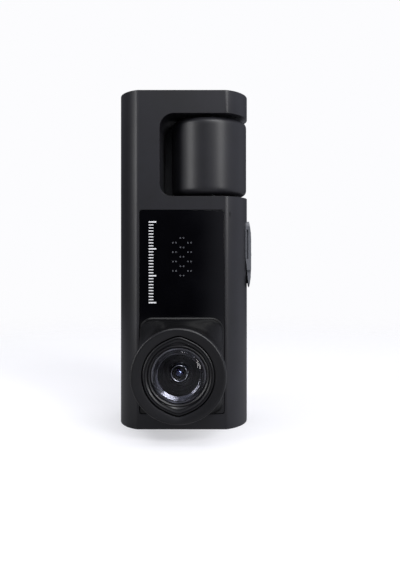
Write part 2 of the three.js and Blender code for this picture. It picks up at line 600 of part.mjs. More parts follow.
addPiece('pivot_pin', turnedZ([
  [0, DRUM_TOP - 2.0], [PIN_RADIUS - 0.3, DRUM_TOP - 2.0], [PIN_RADIUS, DRUM_TOP - 1.7],
  [PIN_RADIUS, BAY_TOP + 3.1], [0, BAY_TOP + 3.1],
], DRUM_AXIS_X, 24), brightSteel);

const CABIN_FACE_Y = DRUM_RADIUS * 0.86;
const cabinBarrelBack = 1.5;
function cabinBezel() {
  const tube = turnedY([
    [4.6, CABIN_FACE_Y - 2.6], [CABIN_LENS_RADIUS, CABIN_FACE_Y - 2.6],
    [CABIN_LENS_RADIUS, CABIN_FACE_Y - 0.4],
    [CABIN_LENS_RADIUS - 0.4, CABIN_FACE_Y], [4.6, CABIN_FACE_Y], [4.6, CABIN_FACE_Y - 2.6],
  ], DRUM_AXIS_X, CABIN_Z, 24);
  return tube;
}
addPiece('cabin_bezel', cabinBezel(), darkRing);
addPiece('cabin_lens', turnedY([
  [0, CABIN_FACE_Y - 2.2], [4.3, CABIN_FACE_Y - 2.2], [4.3, CABIN_FACE_Y - 0.9], [3.0, CABIN_FACE_Y - 0.3],
  [1.5, CABIN_FACE_Y - 0.02], [0, CABIN_FACE_Y + 0.1],
], DRUM_AXIS_X, CABIN_Z, 24), clearGlass);
addPiece('cabin_barrel', turnedY([
  [3.4, cabinBarrelBack], [4.5, cabinBarrelBack], [4.5, CABIN_FACE_Y - 2.7], [3.4, CABIN_FACE_Y - 2.7],
  [3.4, cabinBarrelBack],
], DRUM_AXIS_X, CABIN_Z, 24), satinBlack);
addPiece('cabin_image_sensor', block(
  DRUM_AXIS_X - 2.6, DRUM_AXIS_X + 2.6, 0.2, 1.3, CABIN_Z - 2, CABIN_Z + 2), chipBlack);
addPiece('cabin_sensor_board', block(
  DRUM_AXIS_X - 8, DRUM_AXIS_X + 8, -0.9, 0.1, CABIN_Z - 6.2, CABIN_Z + 6.2), boardGreen);
for (const side of [-1, 1]) {
  const name = side < 0 ? 'infrared_led_left' : 'infrared_led_right';
  const x = DRUM_AXIS_X + side * 5.5;
  addPiece(name, block(x - 0.7, x + 0.7, 0.2, 1.4, CABIN_Z + 3.2, CABIN_Z + 4.8), clearGlass);
}
addPiece('cabin_flex', block(
  DRUM_AXIS_X - 1.2, DRUM_AXIS_X + 1.2, -0.15, 0.15,
  BUSH_BOTTOM - 3, DRUM_BOTTOM + BASE_THICKNESS + 2), boardGreen);

// ---- Main board and what it carries
function mainBoard() {
  let board = block(
    -BOARD_WIDTH / 2, BOARD_WIDTH / 2, BOARD_Y, BOARD_Y + BOARD_THICKNESS,
    BOARD_BOTTOM, BOARD_BOTTOM + BOARD_HEIGHT);
  for (const screw of boardScrews) {
    board = cut(board, rodY(BOARD_SCREW_RADIUS + GAP, 0, FAR, screw.x, screw.z, 12));
  }
  return board;
}
addPiece('main_board', mainBoard(), boardGreen);
for (const screw of boardScrews) {
  const headY = BOARD_Y + BOARD_THICKNESS + SLIP;
  addPiece(screw.name, turnedY([
    [0, headY - 5], [BOARD_SCREW_RADIUS, headY - 4.6], [BOARD_SCREW_RADIUS, headY],
    [1.2, headY], [1.2, headY + 0.6], [0, headY + 0.8],
  ], screw.x, screw.z, 10), brightSteel);
}

const BOARD_FRONT = BOARD_Y - SLIP;
const BOARD_BACK = BOARD_Y + BOARD_THICKNESS + SLIP;
const SHIELD_Z = BOARD_BOTTOM + 23.5;
addPiece('processor', block(
  -12.5, -3.5, BOARD_FRONT - 1.0, BOARD_FRONT, SHIELD_Z + 1.2, SHIELD_Z + 10.2), chipBlack);
addPiece('shield_can', cut(
  block(-14, -2, BOARD_FRONT - 1.7, BOARD_FRONT, SHIELD_Z - 0.3, SHIELD_Z + 11.7),
  block(-13.7, -2.3, BOARD_FRONT - 1.4, FAR, SHIELD_Z, SHIELD_Z + 11.4),
), brightSteel);
addPiece('wireless_antenna', block(-9, 1, BOARD_FRONT - 1.2, BOARD_FRONT, 61, 65), glossBlack);
addPiece('microphone', block(4, 7, BOARD_FRONT - 1.1, BOARD_FRONT, 62, 66), brightSteel);
addPiece('heat_spreader', block(-12, 12, BOARD_BACK, BOARD_BACK + 0.5, 40, 56), brightSteel);
const CAPACITOR_RADIUS = 3.4;
for (const index of [0, 1]) {
  const x = 4.4 + index * 7.3;
  addPiece(`supercapacitor_${index + 1}`, rodZ(
    CAPACITOR_RADIUS, SHIELD_Z - 1, SHIELD_Z + 18, x, BOARD_FRONT - CAPACITOR_RADIUS, 20), chipBlack);
}
const SPEAKER_FRONT = FRONT_Y + FRONT_WALL + SLIP;
addPiece('speaker', turnedY([
  [0, SPEAKER_FRONT + 0.7], [5.6, SPEAKER_FRONT + 0.7], [6.2, SPEAKER_FRONT], [7.9, SPEAKER_FRONT],
  [7.9, SPEAKER_FRONT + 2.0], [5.6, SPEAKER_FRONT + 2.0], [5.6, SPEAKER_FRONT + 3.6],
  [0, SPEAKER_FRONT + 3.6],
], 0, GRILLE_Z, 24), chipBlack);

function usbSocket() {
  const front = SIDE_X - USB_SETBACK;
  const back = front - USB_LENGTH;
  const outside = roundedSlotX(back, front, usbY, USB_Z, USB_HEIGHT, USB_WIDTH);
  const inside = roundedSlotX(back + 0.8, FAR, usbY, USB_Z, USB_HEIGHT - 0.7, USB_WIDTH - 0.7);
  const tongue = block(back + 0.4, front - 0.9, usbY - 0.35, usbY + 0.35, USB_Z - 3.2, USB_Z + 3.2);
  return cut(outside, inside).add(tongue);
}
addPiece('usb_socket', usbSocket(), brightSteel);
const CARD_OUTER_X = CARD_SETBACK - SIDE_X;
const CARD_INNER_X = CARD_OUTER_X + CARD_LENGTH;
const cardSocket = block(
  CARD_OUTER_X + CARD_GRIP, CARD_INNER_X + 1.4, cardY - 0.9, cardY + 0.9,
  CARD_Z - CARD_WIDTH / 2 - 1, CARD_Z + CARD_WIDTH / 2 + 1);
const cardRoom = block(
  -FAR, CARD_INNER_X + 0.8, cardY - 0.55, cardY + 0.55,
  CARD_Z - CARD_WIDTH / 2 - GAP, CARD_Z + CARD_WIDTH / 2 + GAP);
const card = block(
  CARD_OUTER_X, CARD_INNER_X, cardY - CARD_THICKNESS / 2, cardY + CARD_THICKNESS / 2,
  CARD_Z - CARD_WIDTH / 2, CARD_Z + CARD_WIDTH / 2);
addPiece('memory_card_socket', cut(cardSocket, cardRoom), brightSteel);
addPiece('memory_card', card, glossBlack);

// ---- Screen and keys on the back
const SCREEN_FRONT_Y = BACK_Y - 0.2;
const screenLeft = -SCREEN_WIDTH / 2;
addPiece('screen_window', plateXZ(roundedRectangle(
  screenLeft, -screenLeft, SCREEN_BOTTOM, SCREEN_BOTTOM + SCREEN_HEIGHT, 1.4,
), SCREEN_FRONT_Y - 1.0, SCREEN_FRONT_Y), glossBlack);
const MODULE_FRONT_Y = BACK_Y - WALL - GAP / 2;
addPiece('screen_module', block(
  screenLeft - 0.6, -screenLeft + 0.6, MODULE_FRONT_Y - 1.65, MODULE_FRONT_Y,
  SCREEN_BOTTOM - 0.6, SCREEN_BOTTOM + SCREEN_HEIGHT + 0.6), chipBlack);
const KEY_BOARD_Y = PARTING_Y + 0.6;
// One strip of board with a dome switch under each key.
function keyBoard() {
  let strip = block(-12, 12, KEY_BOARD_Y, KEY_BOARD_Y + 0.6, KEY_Z - 3.5, KEY_Z + 3.5);
  for (const key of keys()) {
    const dome = rodY(1.5, KEY_BOARD_Y + 0.3, KEY_BOARD_Y + 1.2, key.x, KEY_Z, 12);
    strip = strip.add(dome);
  }
  return strip;
}
addPiece('key_board', keyBoard(), boardGreen);
for (const key of keys()) {
  const capBack = BACK_Y - WALL - 0.25;
  addPiece(key.name, turnedY([
    [0, KEY_BOARD_Y + 1.2 + KEY_TRAVEL + 0.1], [KEY_RADIUS + 0.5, KEY_BOARD_Y + 1.2 + KEY_TRAVEL + 0.1],
    [KEY_RADIUS + 0.5, capBack], [KEY_RADIUS, capBack], [KEY_RADIUS, BACK_Y - 0.25],
    [KEY_RADIUS - 0.25, BACK_Y], [0, BACK_Y],
  ], key.x, KEY_Z, 16), softRubber);
}

// ---- Mount shoe, latch and latch spring
const SHOE_FACE_X = SIDE_X + SHOE_PROUD;
// Everything inside the shoe's face, which is flat in the middle and falls away towards its ends.
function shoeBow() {
  const middle = SHOE_BOTTOM + SHOE_LENGTH / 2;
  const halfFlat = SHOE_FLAT / 2;
  const end = SHOE_LENGTH / 2 - halfFlat;
  const radius = (end ** 2 + SHOE_BOW ** 2) / (2 * SHOE_BOW);
  const angle = 1.05 * Math.asin(end / radius);
  const shape = new THREE.Shape();
  shape.moveTo(SIDE_X - 2 * SHOE_SEAT, SHOE_BOTTOM - 1);
  shape.absarc(SHOE_FACE_X - radius, middle - halfFlat, radius, -angle, 0, false);
  shape.absarc(SHOE_FACE_X - radius, middle + halfFlat, radius, 0, angle, false);
  shape.lineTo(SIDE_X - 2 * SHOE_SEAT, SHOE_BOTTOM + SHOE_LENGTH + 1);
  return plateXZ(shape, -FAR, FAR, { curveSegments: 12 });
}

function mountShoe() {
  const grooveDepth = 0.9;
  const grooveInner = SHOE_FACE_X - 1.5;
  const grooveOuter = SHOE_FACE_X - 0.95;
  let shoe = prismX(shoeOutline(), SIDE_X - SHOE_SEAT + SLIP, SHOE_FACE_X).intersect(shoeBow());
  for (const side of [-1, 1]) {
    const edge = side * SHOE_WIDTH / 2;
    const y0 = Math.min(edge - side * grooveDepth, edge + side);
    const y1 = Math.max(edge - side * grooveDepth, edge + side);
    const groove = block(
      grooveInner, grooveOuter, y0, y1, latchBottom() - 0.5, SHOE_BOTTOM + SHOE_LENGTH - 2.6);
    const gripNotch = block(grooveInner, FAR, y0, y1, SHOE_BOTTOM + 3.8, SHOE_BOTTOM + 5.8);
    shoe = cut(shoe, groove, gripNotch);
  }
  const latchRoom = block(
    0, FAR, -LATCH_WIDTH / 2 - GAP, LATCH_WIDTH / 2 + GAP,
    latchBottom() - GAP, latchBottom() + LATCH_LENGTH + GAP);
  shoe = cut(shoe, latchRoom);
  for (const screw of shoeScrews()) {
    shoe = cut(shoe, rodX(screw.radius + GAP, 0, FAR, 0, screw.z, 12));
    shoe = cut(shoe, rodX(SHOE_HEAD_RADIUS + GAP, SHOE_FACE_X - SHOE_BOW - 0.7, FAR, 0, screw.z, 14));
  }
  return shoe;
}
addPiece('mount_shoe', mountShoe(), darkRing);
for (const screw of shoeScrews()) {
  const headBack = SHOE_FACE_X - SHOE_BOW - 0.65;
  const shank = rodX(screw.radius, SIDE_X - 4, headBack + 0.15, 0, screw.z, 12);
  const head = rodX(SHOE_HEAD_RADIUS, headBack, SHOE_FACE_X - SHOE_BOW - 0.05, 0, screw.z, 14);
  addPiece(screw.name, shank.add(head), brightSteel);
}
const LATCH_FACE_X = SHOE_FACE_X + 0.05;
function latchButton() {
  const bottom = latchBottom();
  const cap = block(
    LATCH_BACK_X, LATCH_FACE_X, -LATCH_WIDTH / 2, LATCH_WIDTH / 2, bottom, bottom + LATCH_LENGTH);
  const flange = block(
    LATCH_BACK_X, LATCH_BACK_X + LATCH_FLANGE, -FLANGE_EDGE_Y, FLANGE_EDGE_Y,
    bottom - 0.5, bottom + LATCH_LENGTH + 0.5);
  const nub = rodX(0.6, LATCH_FACE_X - 0.2, LATCH_FACE_X + 0.2, 0, bottom + 0.9, 12);
  return join(cap, flange, nub);
}
addPiece('latch_button', latchButton(), satinBlack);

class CoilCurve extends THREE.Curve {
  constructor(radius, start, length, turns, z) {
    super();
    Object.assign(this, { radius, start, length, turns, z });
  }

  getPoint(t, target = new THREE.Vector3()) {
    const angle = t * this.turns * 2 * Math.PI;
    return target.set(
      this.start + t * this.length, this.radius * Math.cos(angle), this.z + this.radius * Math.sin(angle));
  }
}

function latchSpring() {
  const wire = new THREE.Shape();
  wire.absarc(0, 0, 0.16, 0, 2 * Math.PI, false);
  const start = SPRING_REST_X + 0.25;
  const end = LATCH_BACK_X - LATCH_TRAVEL - 0.1;
  const path = new CoilCurve(1.2, start, end - start, 2.5, latchBottom() + LATCH_LENGTH / 2);
  const geometry = new THREE.ExtrudeGeometry(wire, { extrudePath: path, steps: 36, curveSegments: 3 });
  return toSolid(geometry);
}
addPiece('latch_spring', latchSpring(), brightSteel);

export default camera;
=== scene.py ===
import json
from math import asin, cos, pi, radians, sin, sqrt

import bmesh
import bpy
from mathutils import Matrix, Vector

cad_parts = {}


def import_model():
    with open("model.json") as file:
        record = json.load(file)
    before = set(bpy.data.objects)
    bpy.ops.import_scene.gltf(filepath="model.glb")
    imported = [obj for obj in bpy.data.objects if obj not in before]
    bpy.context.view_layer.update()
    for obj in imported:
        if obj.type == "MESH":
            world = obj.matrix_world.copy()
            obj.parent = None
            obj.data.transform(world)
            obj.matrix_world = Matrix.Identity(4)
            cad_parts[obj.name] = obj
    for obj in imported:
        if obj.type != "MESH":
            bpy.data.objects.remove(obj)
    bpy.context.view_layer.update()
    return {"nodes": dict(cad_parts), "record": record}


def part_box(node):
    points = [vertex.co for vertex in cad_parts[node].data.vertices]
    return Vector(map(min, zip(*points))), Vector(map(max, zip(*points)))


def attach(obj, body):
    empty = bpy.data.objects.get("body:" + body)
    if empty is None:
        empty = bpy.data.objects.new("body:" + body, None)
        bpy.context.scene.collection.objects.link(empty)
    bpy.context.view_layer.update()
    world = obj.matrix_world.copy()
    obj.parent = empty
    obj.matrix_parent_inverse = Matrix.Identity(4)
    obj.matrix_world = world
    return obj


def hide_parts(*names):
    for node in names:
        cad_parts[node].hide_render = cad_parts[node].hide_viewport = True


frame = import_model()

# Dash camera. Shapes are worked out in millimetres, and new_piece() turns them to metres.
# +Z runs up the housing, the road lens looks along -Y, and +X is the side with the mount shoe.
MM = 0.001


def box_mm(node):
    low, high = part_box(node)
    return Vector(low) / MM, Vector(high) / MM


def middle_xz(node):
    low, high = box_mm(node)
    return (low.x + high.x) / 2, (low.z + high.z) / 2


SHELL_LOW, SHELL_HIGH = box_mm("front_shell")
COVER_LOW, COVER_HIGH = box_mm("rear_cover")
PANEL_LOW, PANEL_HIGH = box_mm("front_panel")
POD_LOW, POD_HIGH = box_mm("lens_pod")
RING_LOW, RING_HIGH = box_mm("lens_ring")
BEZEL_LOW, BEZEL_HIGH = box_mm("lens_bezel")
GLASS_LOW, GLASS_HIGH = box_mm("front_lens")
CONE_LOW, CONE_HIGH = box_mm("lens_cone")
CONE_STOP_RADIUS = 6.2          # dark stop plate behind the front glass
GLASS_RADIUS = (GLASS_HIGH.x - GLASS_LOW.x) / 2
BARREL_LIP = GLASS_RADIUS - 1.2     # inner radius of the barrel's lip behind the glass
GLASS_BACK_ROOM = 0.72          # depth between the back of the glass and the barrel's lip
DRUM_LOW, DRUM_HIGH = box_mm("drum_shell")
CABIN_RING_LOW, CABIN_RING_HIGH = box_mm("cabin_bezel")
CABIN_GLASS_LOW, CABIN_GLASS_HIGH = box_mm("cabin_lens")
SCREEN_LOW, SCREEN_HIGH = box_mm("screen_window")

# ---- Housing sizes
HEIGHT = SHELL_HIGH.z
HALF_WIDTH = SHELL_HIGH.x
HALF_DEPTH = -SHELL_LOW.y
PARTING = SHELL_HIGH.y
HALF_FLAT = 14.2                # half of the flat part of the front and the back
WALL = 1.8
BAY_LEFT = -7.15
BAY_BOTTOM = 74.2
BAY_TOP = 100.7
BAY_ROUND_TOP = 4.6
BAY_ROUND_BOTTOM = 4.0
REAR_OPENING_LEFT = -3.0
END_ROUND = 0.6                 # rounding round the two ends
BAY_RIM_ROUND = 0.75
CREASE_ROUND = 0.45             # the flats run into the round side over this much on each side
PARTING_ROUND = 0.18
SIDE_STEPS = 26                 # facets in one round side
# The round sides are cut from an oval; these are its half axes and the x of its middle.
OVAL_DEPTH = HALF_DEPTH + 0.6
OVAL_WIDTH = (HALF_WIDTH - HALF_FLAT) / (1 - sqrt(1 - (HALF_DEPTH / OVAL_DEPTH) ** 2))
OVAL_X = HALF_WIDTH - OVAL_WIDTH

# ---- Back of the housing
VENT_X = -11.3
VENT_HALF_LENGTH = 2.1
VENT_HALF_HEIGHT = 0.6
VENT_ROWS = 6
VENT_PITCH = 3.4
KEY_ROOM = 0.14
SCREW_ROOM = 0.25
KEYS = ("key_power", "key_menu", "key_up", "key_down")
KEY_RADIUS = 2.1
COVER_SCREWS = ("cover_screw_lower_left", "cover_screw_lower_right",
                "cover_screw_upper_left", "cover_screw_upper_right")
SHOE_SCREWS = ("shoe_screw_lower", "shoe_screw_upper")

# ---- Print and sound holes on the fascia
GRILLE_Z = 54.9
GRILLE_ROW_PITCH = 3.0
GRILLE_COLUMN_PITCH = 2.4
GRILLE_PAIR = 0.5               # half the distance between the two holes of a pair
MARK_X = -9.4
MARK_WIDTH = 2.4
MARK_TOP = 66.0
MARK_LENGTH = 25.7
MARK_COUNT = 28
MARK_GROUP = 9                  # every ninth tick is a long one

# ---- Lens and drum
LENS_Z = (RING_LOW.z + RING_HIGH.z) / 2
LENS_AXIS = (0, 0, LENS_Z)
RING_RADIUS = (RING_HIGH.x - RING_LOW.x) / 2
RING_FRONT = RING_LOW.y
RING_BACK = RING_HIGH.y
DRUM_X = (DRUM_LOW.x + DRUM_HIGH.x) / 2
DRUM_RADIUS = (DRUM_HIGH.x - DRUM_LOW.x) / 2
CABIN_Z = (CABIN_RING_LOW.z + CABIN_RING_HIGH.z) / 2


# ---- Mesh helpers
def axis_aligned(face):
    return max(abs(face.normal.x), abs(face.normal.y), abs(face.normal.z)) > 0.9995


def new_piece(name, bm, material, body, replaces, sharp=40, flat_faces=True):
    """Turns a millimetre bmesh into a finished object in metres that rides on a body."""
    bmesh.ops.scale(bm, vec=(MM, MM, MM), verts=bm.verts)
    bm.normal_update()
    for face in bm.faces:
        face.smooth = not (flat_faces and axis_aligned(face))
    for edge in bm.edges:
        edge.smooth = len(edge.link_faces) == 2 and edge.calc_face_angle(0) < radians(sharp)
    mesh = bpy.data.meshes.new(name)
    bm.to_mesh(mesh)
    bm.free()
    piece = bpy.data.objects.new(name, mesh)
    bpy.context.collection.objects.link(piece)
    mesh.materials.append(material)
    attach(piece, body)
    if replaces:
        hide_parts(*replaces)


def bevel_edges(bm, edges, offset, segments, clamp=True):
    """Rounds the edges. Without the clamp, two roundings may meet in the middle."""
    if not edges:
        return
    bmesh.ops.bevel(
        bm, geom=edges, offset=offset, offset_type="OFFSET", segments=segments, profile=0.5,
        affect="EDGES", clamp_overlap=clamp, material=-1)


def edges_where(bm, test, angle=None):
    """Edges whose two ends both pass the test, and that turn by more than the angle in degrees."""
    found = []
    for edge in bm.edges:
        if not (test(edge.verts[0].co) and test(edge.verts[1].co)):
            continue
        if angle is not None:
            if len(edge.link_faces) != 2 or edge.calc_face_angle(0) < radians(angle):
                continue
        found.append(edge)
    return found


def cut_plane(bm, point, normal, faces=None):
    """Cuts the faces along a plane and keeps both sides."""
    faces = list(bm.faces) if faces is None else faces
    edges = {edge for face in faces for edge in face.edges}
    verts = {vert for face in faces for vert in face.verts}
    bmesh.ops.bisect_plane(
        bm, geom=faces + list(edges) + list(verts), dist=1e-4, plane_co=point, plane_no=normal,
        clear_inner=False, clear_outer=False)


def near(a, b, distance=1e-3):
    return abs(a - b) < distance


def flat_faces_at(bm, y, normal_y):
    return [f for f in bm.faces if near(f.calc_center_median().y, y) and f.normal.y * normal_y > 0.99]


def faces_within(bm, x0, x1, z0, z1, y, normal_y):
    """Faces of the flat at y whose middle is inside a rectangle."""
    found = []
    for face in flat_faces_at(bm, y, normal_y):
        middle = face.calc_center_median()
        if x0 < middle.x < x1 and z0 < middle.z < z1:
            found.append(face)
    return found


def extrude(bm, faces, vector):
    """Extrudes a region of faces along a vector."""
    made = bmesh.ops.extrude_face_region(bm, geom=faces)
    verts = [v for v in made["geom"] if isinstance(v, bmesh.types.BMVert)]
    bmesh.ops.translate(bm, verts=verts, vec=vector)


def sink_faces(bm, faces, vector):
    """Pushes a flat region in along a vector, with walls round it."""
    extrude(bm, faces, vector)
    bmesh.ops.delete(bm, geom=[f for f in faces if f.is_valid], context="FACES")
    bm.normal_update()


def pocket(bm, x0, x1, z0, z1, y, depth, radius, normal_y=-1, steps=4):
    """Sinks a round-cornered rectangle into the flat face at y, against the face's normal."""
    for x in (x0, x1):
        cut_plane(bm, (x, 0, 0), (1, 0, 0), flat_faces_at(bm, y, normal_y))
    for z in (z0, z1):
        cut_plane(bm, (0, 0, z), (0, 0, 1), flat_faces_at(bm, y, normal_y))
    inside = faces_within(bm, x0, x1, z0, z1, y, normal_y)
    if len(inside) > 1:
        bmesh.ops.dissolve_faces(bm, faces=inside, use_verts=False)
        inside = faces_within(bm, x0, x1, z0, z1, y, normal_y)
    sink_faces(bm, inside, (0, -normal_y * depth, 0))
    walls = {round(y, 3), round(y - normal_y * depth, 3)}
    corners = []
    for edge in bm.edges:
        a, b = edge.verts[0].co, edge.verts[1].co
        straight = near(a.x, b.x) and near(a.z, b.z) and {round(a.y, 3), round(b.y, 3)} == walls
        if straight and min(abs(a.x - x0), abs(a.x - x1)) < 1e-3 and min(abs(a.z - z0), abs(a.z - z1)) < 1e-3:
            corners.append(edge)
    bevel_edges(bm, corners, radius, steps, clamp=False)
    bm.normal_update()


# ---- Housing
def front_y(x):
    """Depth of the front surface at x: flat in the middle, round at the sides."""
    past = (abs(x) - HALF_FLAT) / CREASE_ROUND
    if past <= -1:
        return -HALF_DEPTH
    if past >= 1:
        return oval_y(abs(x))
    start, end = -HALF_DEPTH, oval_y(HALF_FLAT + CREASE_ROUND)
    slope = (oval_y(HALF_FLAT + 1.1 * CREASE_ROUND) - oval_y(HALF_FLAT + 0.9 * CREASE_ROUND)) * 10
    t = (past + 1) / 2
    return start * (1 - 3 * t ** 2 + 2 * t ** 3) + end * (3 * t ** 2 - 2 * t ** 3) + slope * (t ** 3 - t ** 2)


def oval_y(x):
    return -OVAL_DEPTH * sqrt(max(1 - ((x - OVAL_X) / OVAL_WIDTH) ** 2, 0))


def side_columns(limit):
    """The x of the facets' edges on one round side, evenly spaced by angle, up to the limit."""
    angle = asin(HALF_DEPTH / OVAL_DEPTH)
    steps = [angle * index / (SIDE_STEPS / 2) for index in range(int(SIDE_STEPS / 2) + 1)]
    crease = [HALF_FLAT + CREASE_ROUND * share for share in (-1, -0.5, 0, 0.5, 1)]
    side = [x for x in (OVAL_X + OVAL_WIDTH * cos(step) for step in steps) if x > crease[-1] + 0.1]
    return [x for x in side + crease if x < limit - 1e-3]


def c_slab(half_width, bay_left, front, back):
    """Slab with the housing's outline and its bay, whose two faces follow front(x) and back(x)."""
    bm = bmesh.new()
    outline = (
        (-half_width, 0), (half_width, 0), (half_width, BAY_BOTTOM), (bay_left, BAY_BOTTOM),
        (bay_left, BAY_TOP), (half_width, BAY_TOP), (half_width, HEIGHT), (-half_width, HEIGHT))
    face = bm.faces.new([bm.verts.new((x, -1, z)) for x, z in outline])
    extrude(bm, [face], (0, 2, 0))
    bmesh.ops.recalc_face_normals(bm, faces=bm.faces)
    for z, radius in ((BAY_BOTTOM, BAY_ROUND_BOTTOM), (BAY_TOP, BAY_ROUND_TOP)):
        corner = edges_where(bm, lambda co: near(co.x, bay_left) and near(co.z, z))
        bevel_edges(bm, corner, radius, 10)
    for x in side_columns(half_width):
        cut_plane(bm, (x, 0, 0), (1, 0, 0))
        cut_plane(bm, (-x, 0, 0), (1, 0, 0))
    for vert in bm.verts:
        vert.co.y = front(vert.co.x) if vert.co.y < 0 else back(vert.co.x)
    bmesh.ops.remove_doubles(bm, verts=bm.verts, dist=1e-3)
    bmesh.ops.dissolve_degenerate(bm, dist=1e-4, edges=bm.edges)
    bmesh.ops.recalc_face_normals(bm, faces=bm.faces)
    return bm


def in_bay(co, bay_left=BAY_LEFT):
    return co.x > bay_left - 0.01 and BAY_BOTTOM - 0.01 < co.z < BAY_TOP + 0.01


def front_shell(material):
    bm = c_slab(HALF_WIDTH, BAY_LEFT, front_y, lambda x: min(-front_y(x), PARTING))
    window_margin = 0.15
    pocket(
        bm, PANEL_LOW.x - window_margin, PANEL_HIGH.x + window_margin,
        PANEL_LOW.z - window_margin, PANEL_HIGH.z + window_margin, -HALF_DEPTH, 1.5, 0.9)
    open_back = [f for f in bm.faces if near(f.calc_center_median().y, PARTING) and f.normal.y > 0.99]
    bmesh.ops.delete(bm, geom=open_back, context="FACES")
    for node, side in (("usb_socket", 1), ("memory_card", -1)):
        low, high = box_mm(node)
        room = Vector((0, 0.15, 0.15))
        side_hole(bm, side, low - room, high + room)
    bmesh.ops.solidify(bm, geom=list(bm.faces), thickness=WALL)
    bm.normal_update()

    def on_skin(co):
        return near(abs(co.y), abs(front_y(co.x)), 2e-3)

    bevel_edges(bm, edges_where(bm, lambda co: on_skin(co) and in_bay(co), 35), BAY_RIM_ROUND, 4)
    bevel_edges(bm, edges_where(bm, lambda co: near(co.z, 0) or near(co.z, HEIGHT), 50), END_ROUND, 4)
    rim = edges_where(
        bm, lambda co: near(co.y, -HALF_DEPTH) and abs(co.x) < HALF_FLAT - 0.1 and co.z < BAY_BOTTOM - 2, 50)
    bevel_edges(bm, rim, 0.15, 2)
    parting = edges_where(
        bm, lambda co: near(co.y, PARTING) and (
            near(abs(co.x), HALF_WIDTH, 3) or co.z < 0.7 or co.z > HEIGHT - 0.7), 40)
    bevel_edges(bm, parting, PARTING_ROUND, 2)
    new_piece("housing_front", bm, material, "housing", ["front_shell"])


def rear_cover(material):
    bm = c_slab(
        COVER_HIGH.x, REAR_OPENING_LEFT, lambda x: COVER_LOW.y, lambda x: max(-front_y(x), COVER_LOW.y))
    back = HALF_DEPTH
    screen_margin = 0.12
    pocket(
        bm, SCREEN_LOW.x - screen_margin, SCREEN_HIGH.x + screen_margin,
        SCREEN_LOW.z - screen_margin, SCREEN_HIGH.z + screen_margin, back, 1.25, 1.5, 1, 6)
    for key in KEYS:
        round_pocket(bm, *middle_xz(key), KEY_RADIUS + KEY_ROOM, back, 2.6)
    for screw in COVER_SCREWS:
        low, high = box_mm(screw)
        round_pocket(bm, *middle_xz(screw), (high.x - low.x) / 2 + SCREW_ROOM, back, 1.5)
    for row in range(VENT_ROWS):
        z = BAY_BOTTOM + 4 + row * VENT_PITCH
        pocket(
            bm, VENT_X - VENT_HALF_LENGTH, VENT_X + VENT_HALF_LENGTH,
            z - VENT_HALF_HEIGHT, z + VENT_HALF_HEIGHT, back, 1.7, 0.58, 1, 4)
    bevel_edges(bm, edges_where(
        bm, lambda co: near(co.y, back) and abs(co.x) < HALF_FLAT - 0.05
        and not in_bay(co, REAR_OPENING_LEFT) and 0.1 < co.z < HEIGHT - 0.1, 60), 0.16, 2)
    bevel_edges(bm, edges_where(
        bm, lambda co: near(co.y, max(-front_y(co.x), COVER_LOW.y), 2e-3)
        and in_bay(co, REAR_OPENING_LEFT), 50), 0.5, 3)
    bevel_edges(bm, edges_where(
        bm, lambda co: (near(co.z, 0) or near(co.z, HEIGHT)) and co.y > COVER_LOW.y + 0.01, 50), END_ROUND, 4)
    bevel_edges(bm, edges_where(bm, lambda co: near(co.y, COVER_LOW.y), 25), PARTING_ROUND, 2)
    new_piece("housing_rear", bm, material, "housing", ["rear_cover"])


def flat_square(bm, x, z, radius, y):
    """Faces of the flat back inside the square round a hole."""
    return faces_within(bm, x - radius, x + radius, z - radius, z + radius, y, 1)


def round_pocket(bm, x, z, radius, y, depth):
    """Sinks a round blind hole into the flat back. Each facet of its outline is cut by one plane."""
    centre = Vector((x, y, z))
    sides = [Vector((cos(turn), 0, sin(turn))) for turn in (2 * pi * step / 32 for step in range(32))]
    for side in sides[::8]:
        cut_plane(bm, centre + side * radius, side, flat_faces_at(bm, y, 1))
    square = flat_square(bm, x, z, radius, y)
    if len(square) > 1:
        bmesh.ops.dissolve_faces(bm, faces=square, use_verts=False)
    for side in sides:
        cut_plane(bm, centre + side * radius, side, flat_square(bm, x, z, radius, y))
    square = flat_square(bm, x, z, radius, y)
    disc = min(square, key=lambda face: (face.calc_center_median() - centre).length)
    sink_faces(bm, [disc], (0, -depth, 0))
    for side in sides[4::8]:
        corner = [
            face for face in flat_square(bm, x, z, radius, y)
            if (face.calc_center_median() - centre).angle(side) < pi / 4]
        bmesh.ops.dissolve_faces(bm, faces=corner, use_verts=False)


def side_hole(bm, side, low, high):
    """Opens a hole with cut corners through a round side, round the box of the part that looks out of it."""
    corner = 0.29 * (high.y - low.y)
    middle_y, middle_z = (low.y + high.y) / 2, (low.z + high.z) / 2
    half_y, half_z = (high.y - low.y) / 2, (high.z - low.z) / 2
    planes = []
    for dy in (-1, 1):
        planes.append((Vector((0, dy, 0)), half_y))
        planes.append((Vector((0, 0, dy)), half_z))
        for dz in (-1, 1):
            planes.append((Vector((0, dy, dz)).normalized(), (half_y + half_z - corner) / sqrt(2)))
    centre = Vector((0, middle_y, middle_z))
    for normal, distance in planes:
        cut_plane(bm, centre + normal * distance, normal, [f for f in bm.faces if f.normal.x * side > 0.2])
    inside = []
    for face in bm.faces:
        offset = face.calc_center_median() - centre
        if face.normal.x * side > 0.2 and all(offset.dot(normal) < distance for normal, distance in planes):
            inside.append(face)
    bmesh.ops.delete(bm, geom=inside, context="FACES")


# ---- Turned and lofted pieces
def loop_at(bm, radius_of, y, steps):
    """Closed loop of vertices round the road lens's axis, at radius_of(angle)."""
    made = bmesh.ops.create_circle(bm, cap_ends=False, radius=1, segments=steps)
    verts = set(made["verts"])
    for vert in verts:
        angle = Vector((vert.co.x, vert.co.y)).angle_signed(Vector((1, 0)))
        radius = radius_of(angle)
        vert.co = (radius * cos(angle), y, LENS_Z + radius * sin(angle))
    return [edge for edge in bm.edges if edge.verts[0] in verts and edge.verts[1] in verts]


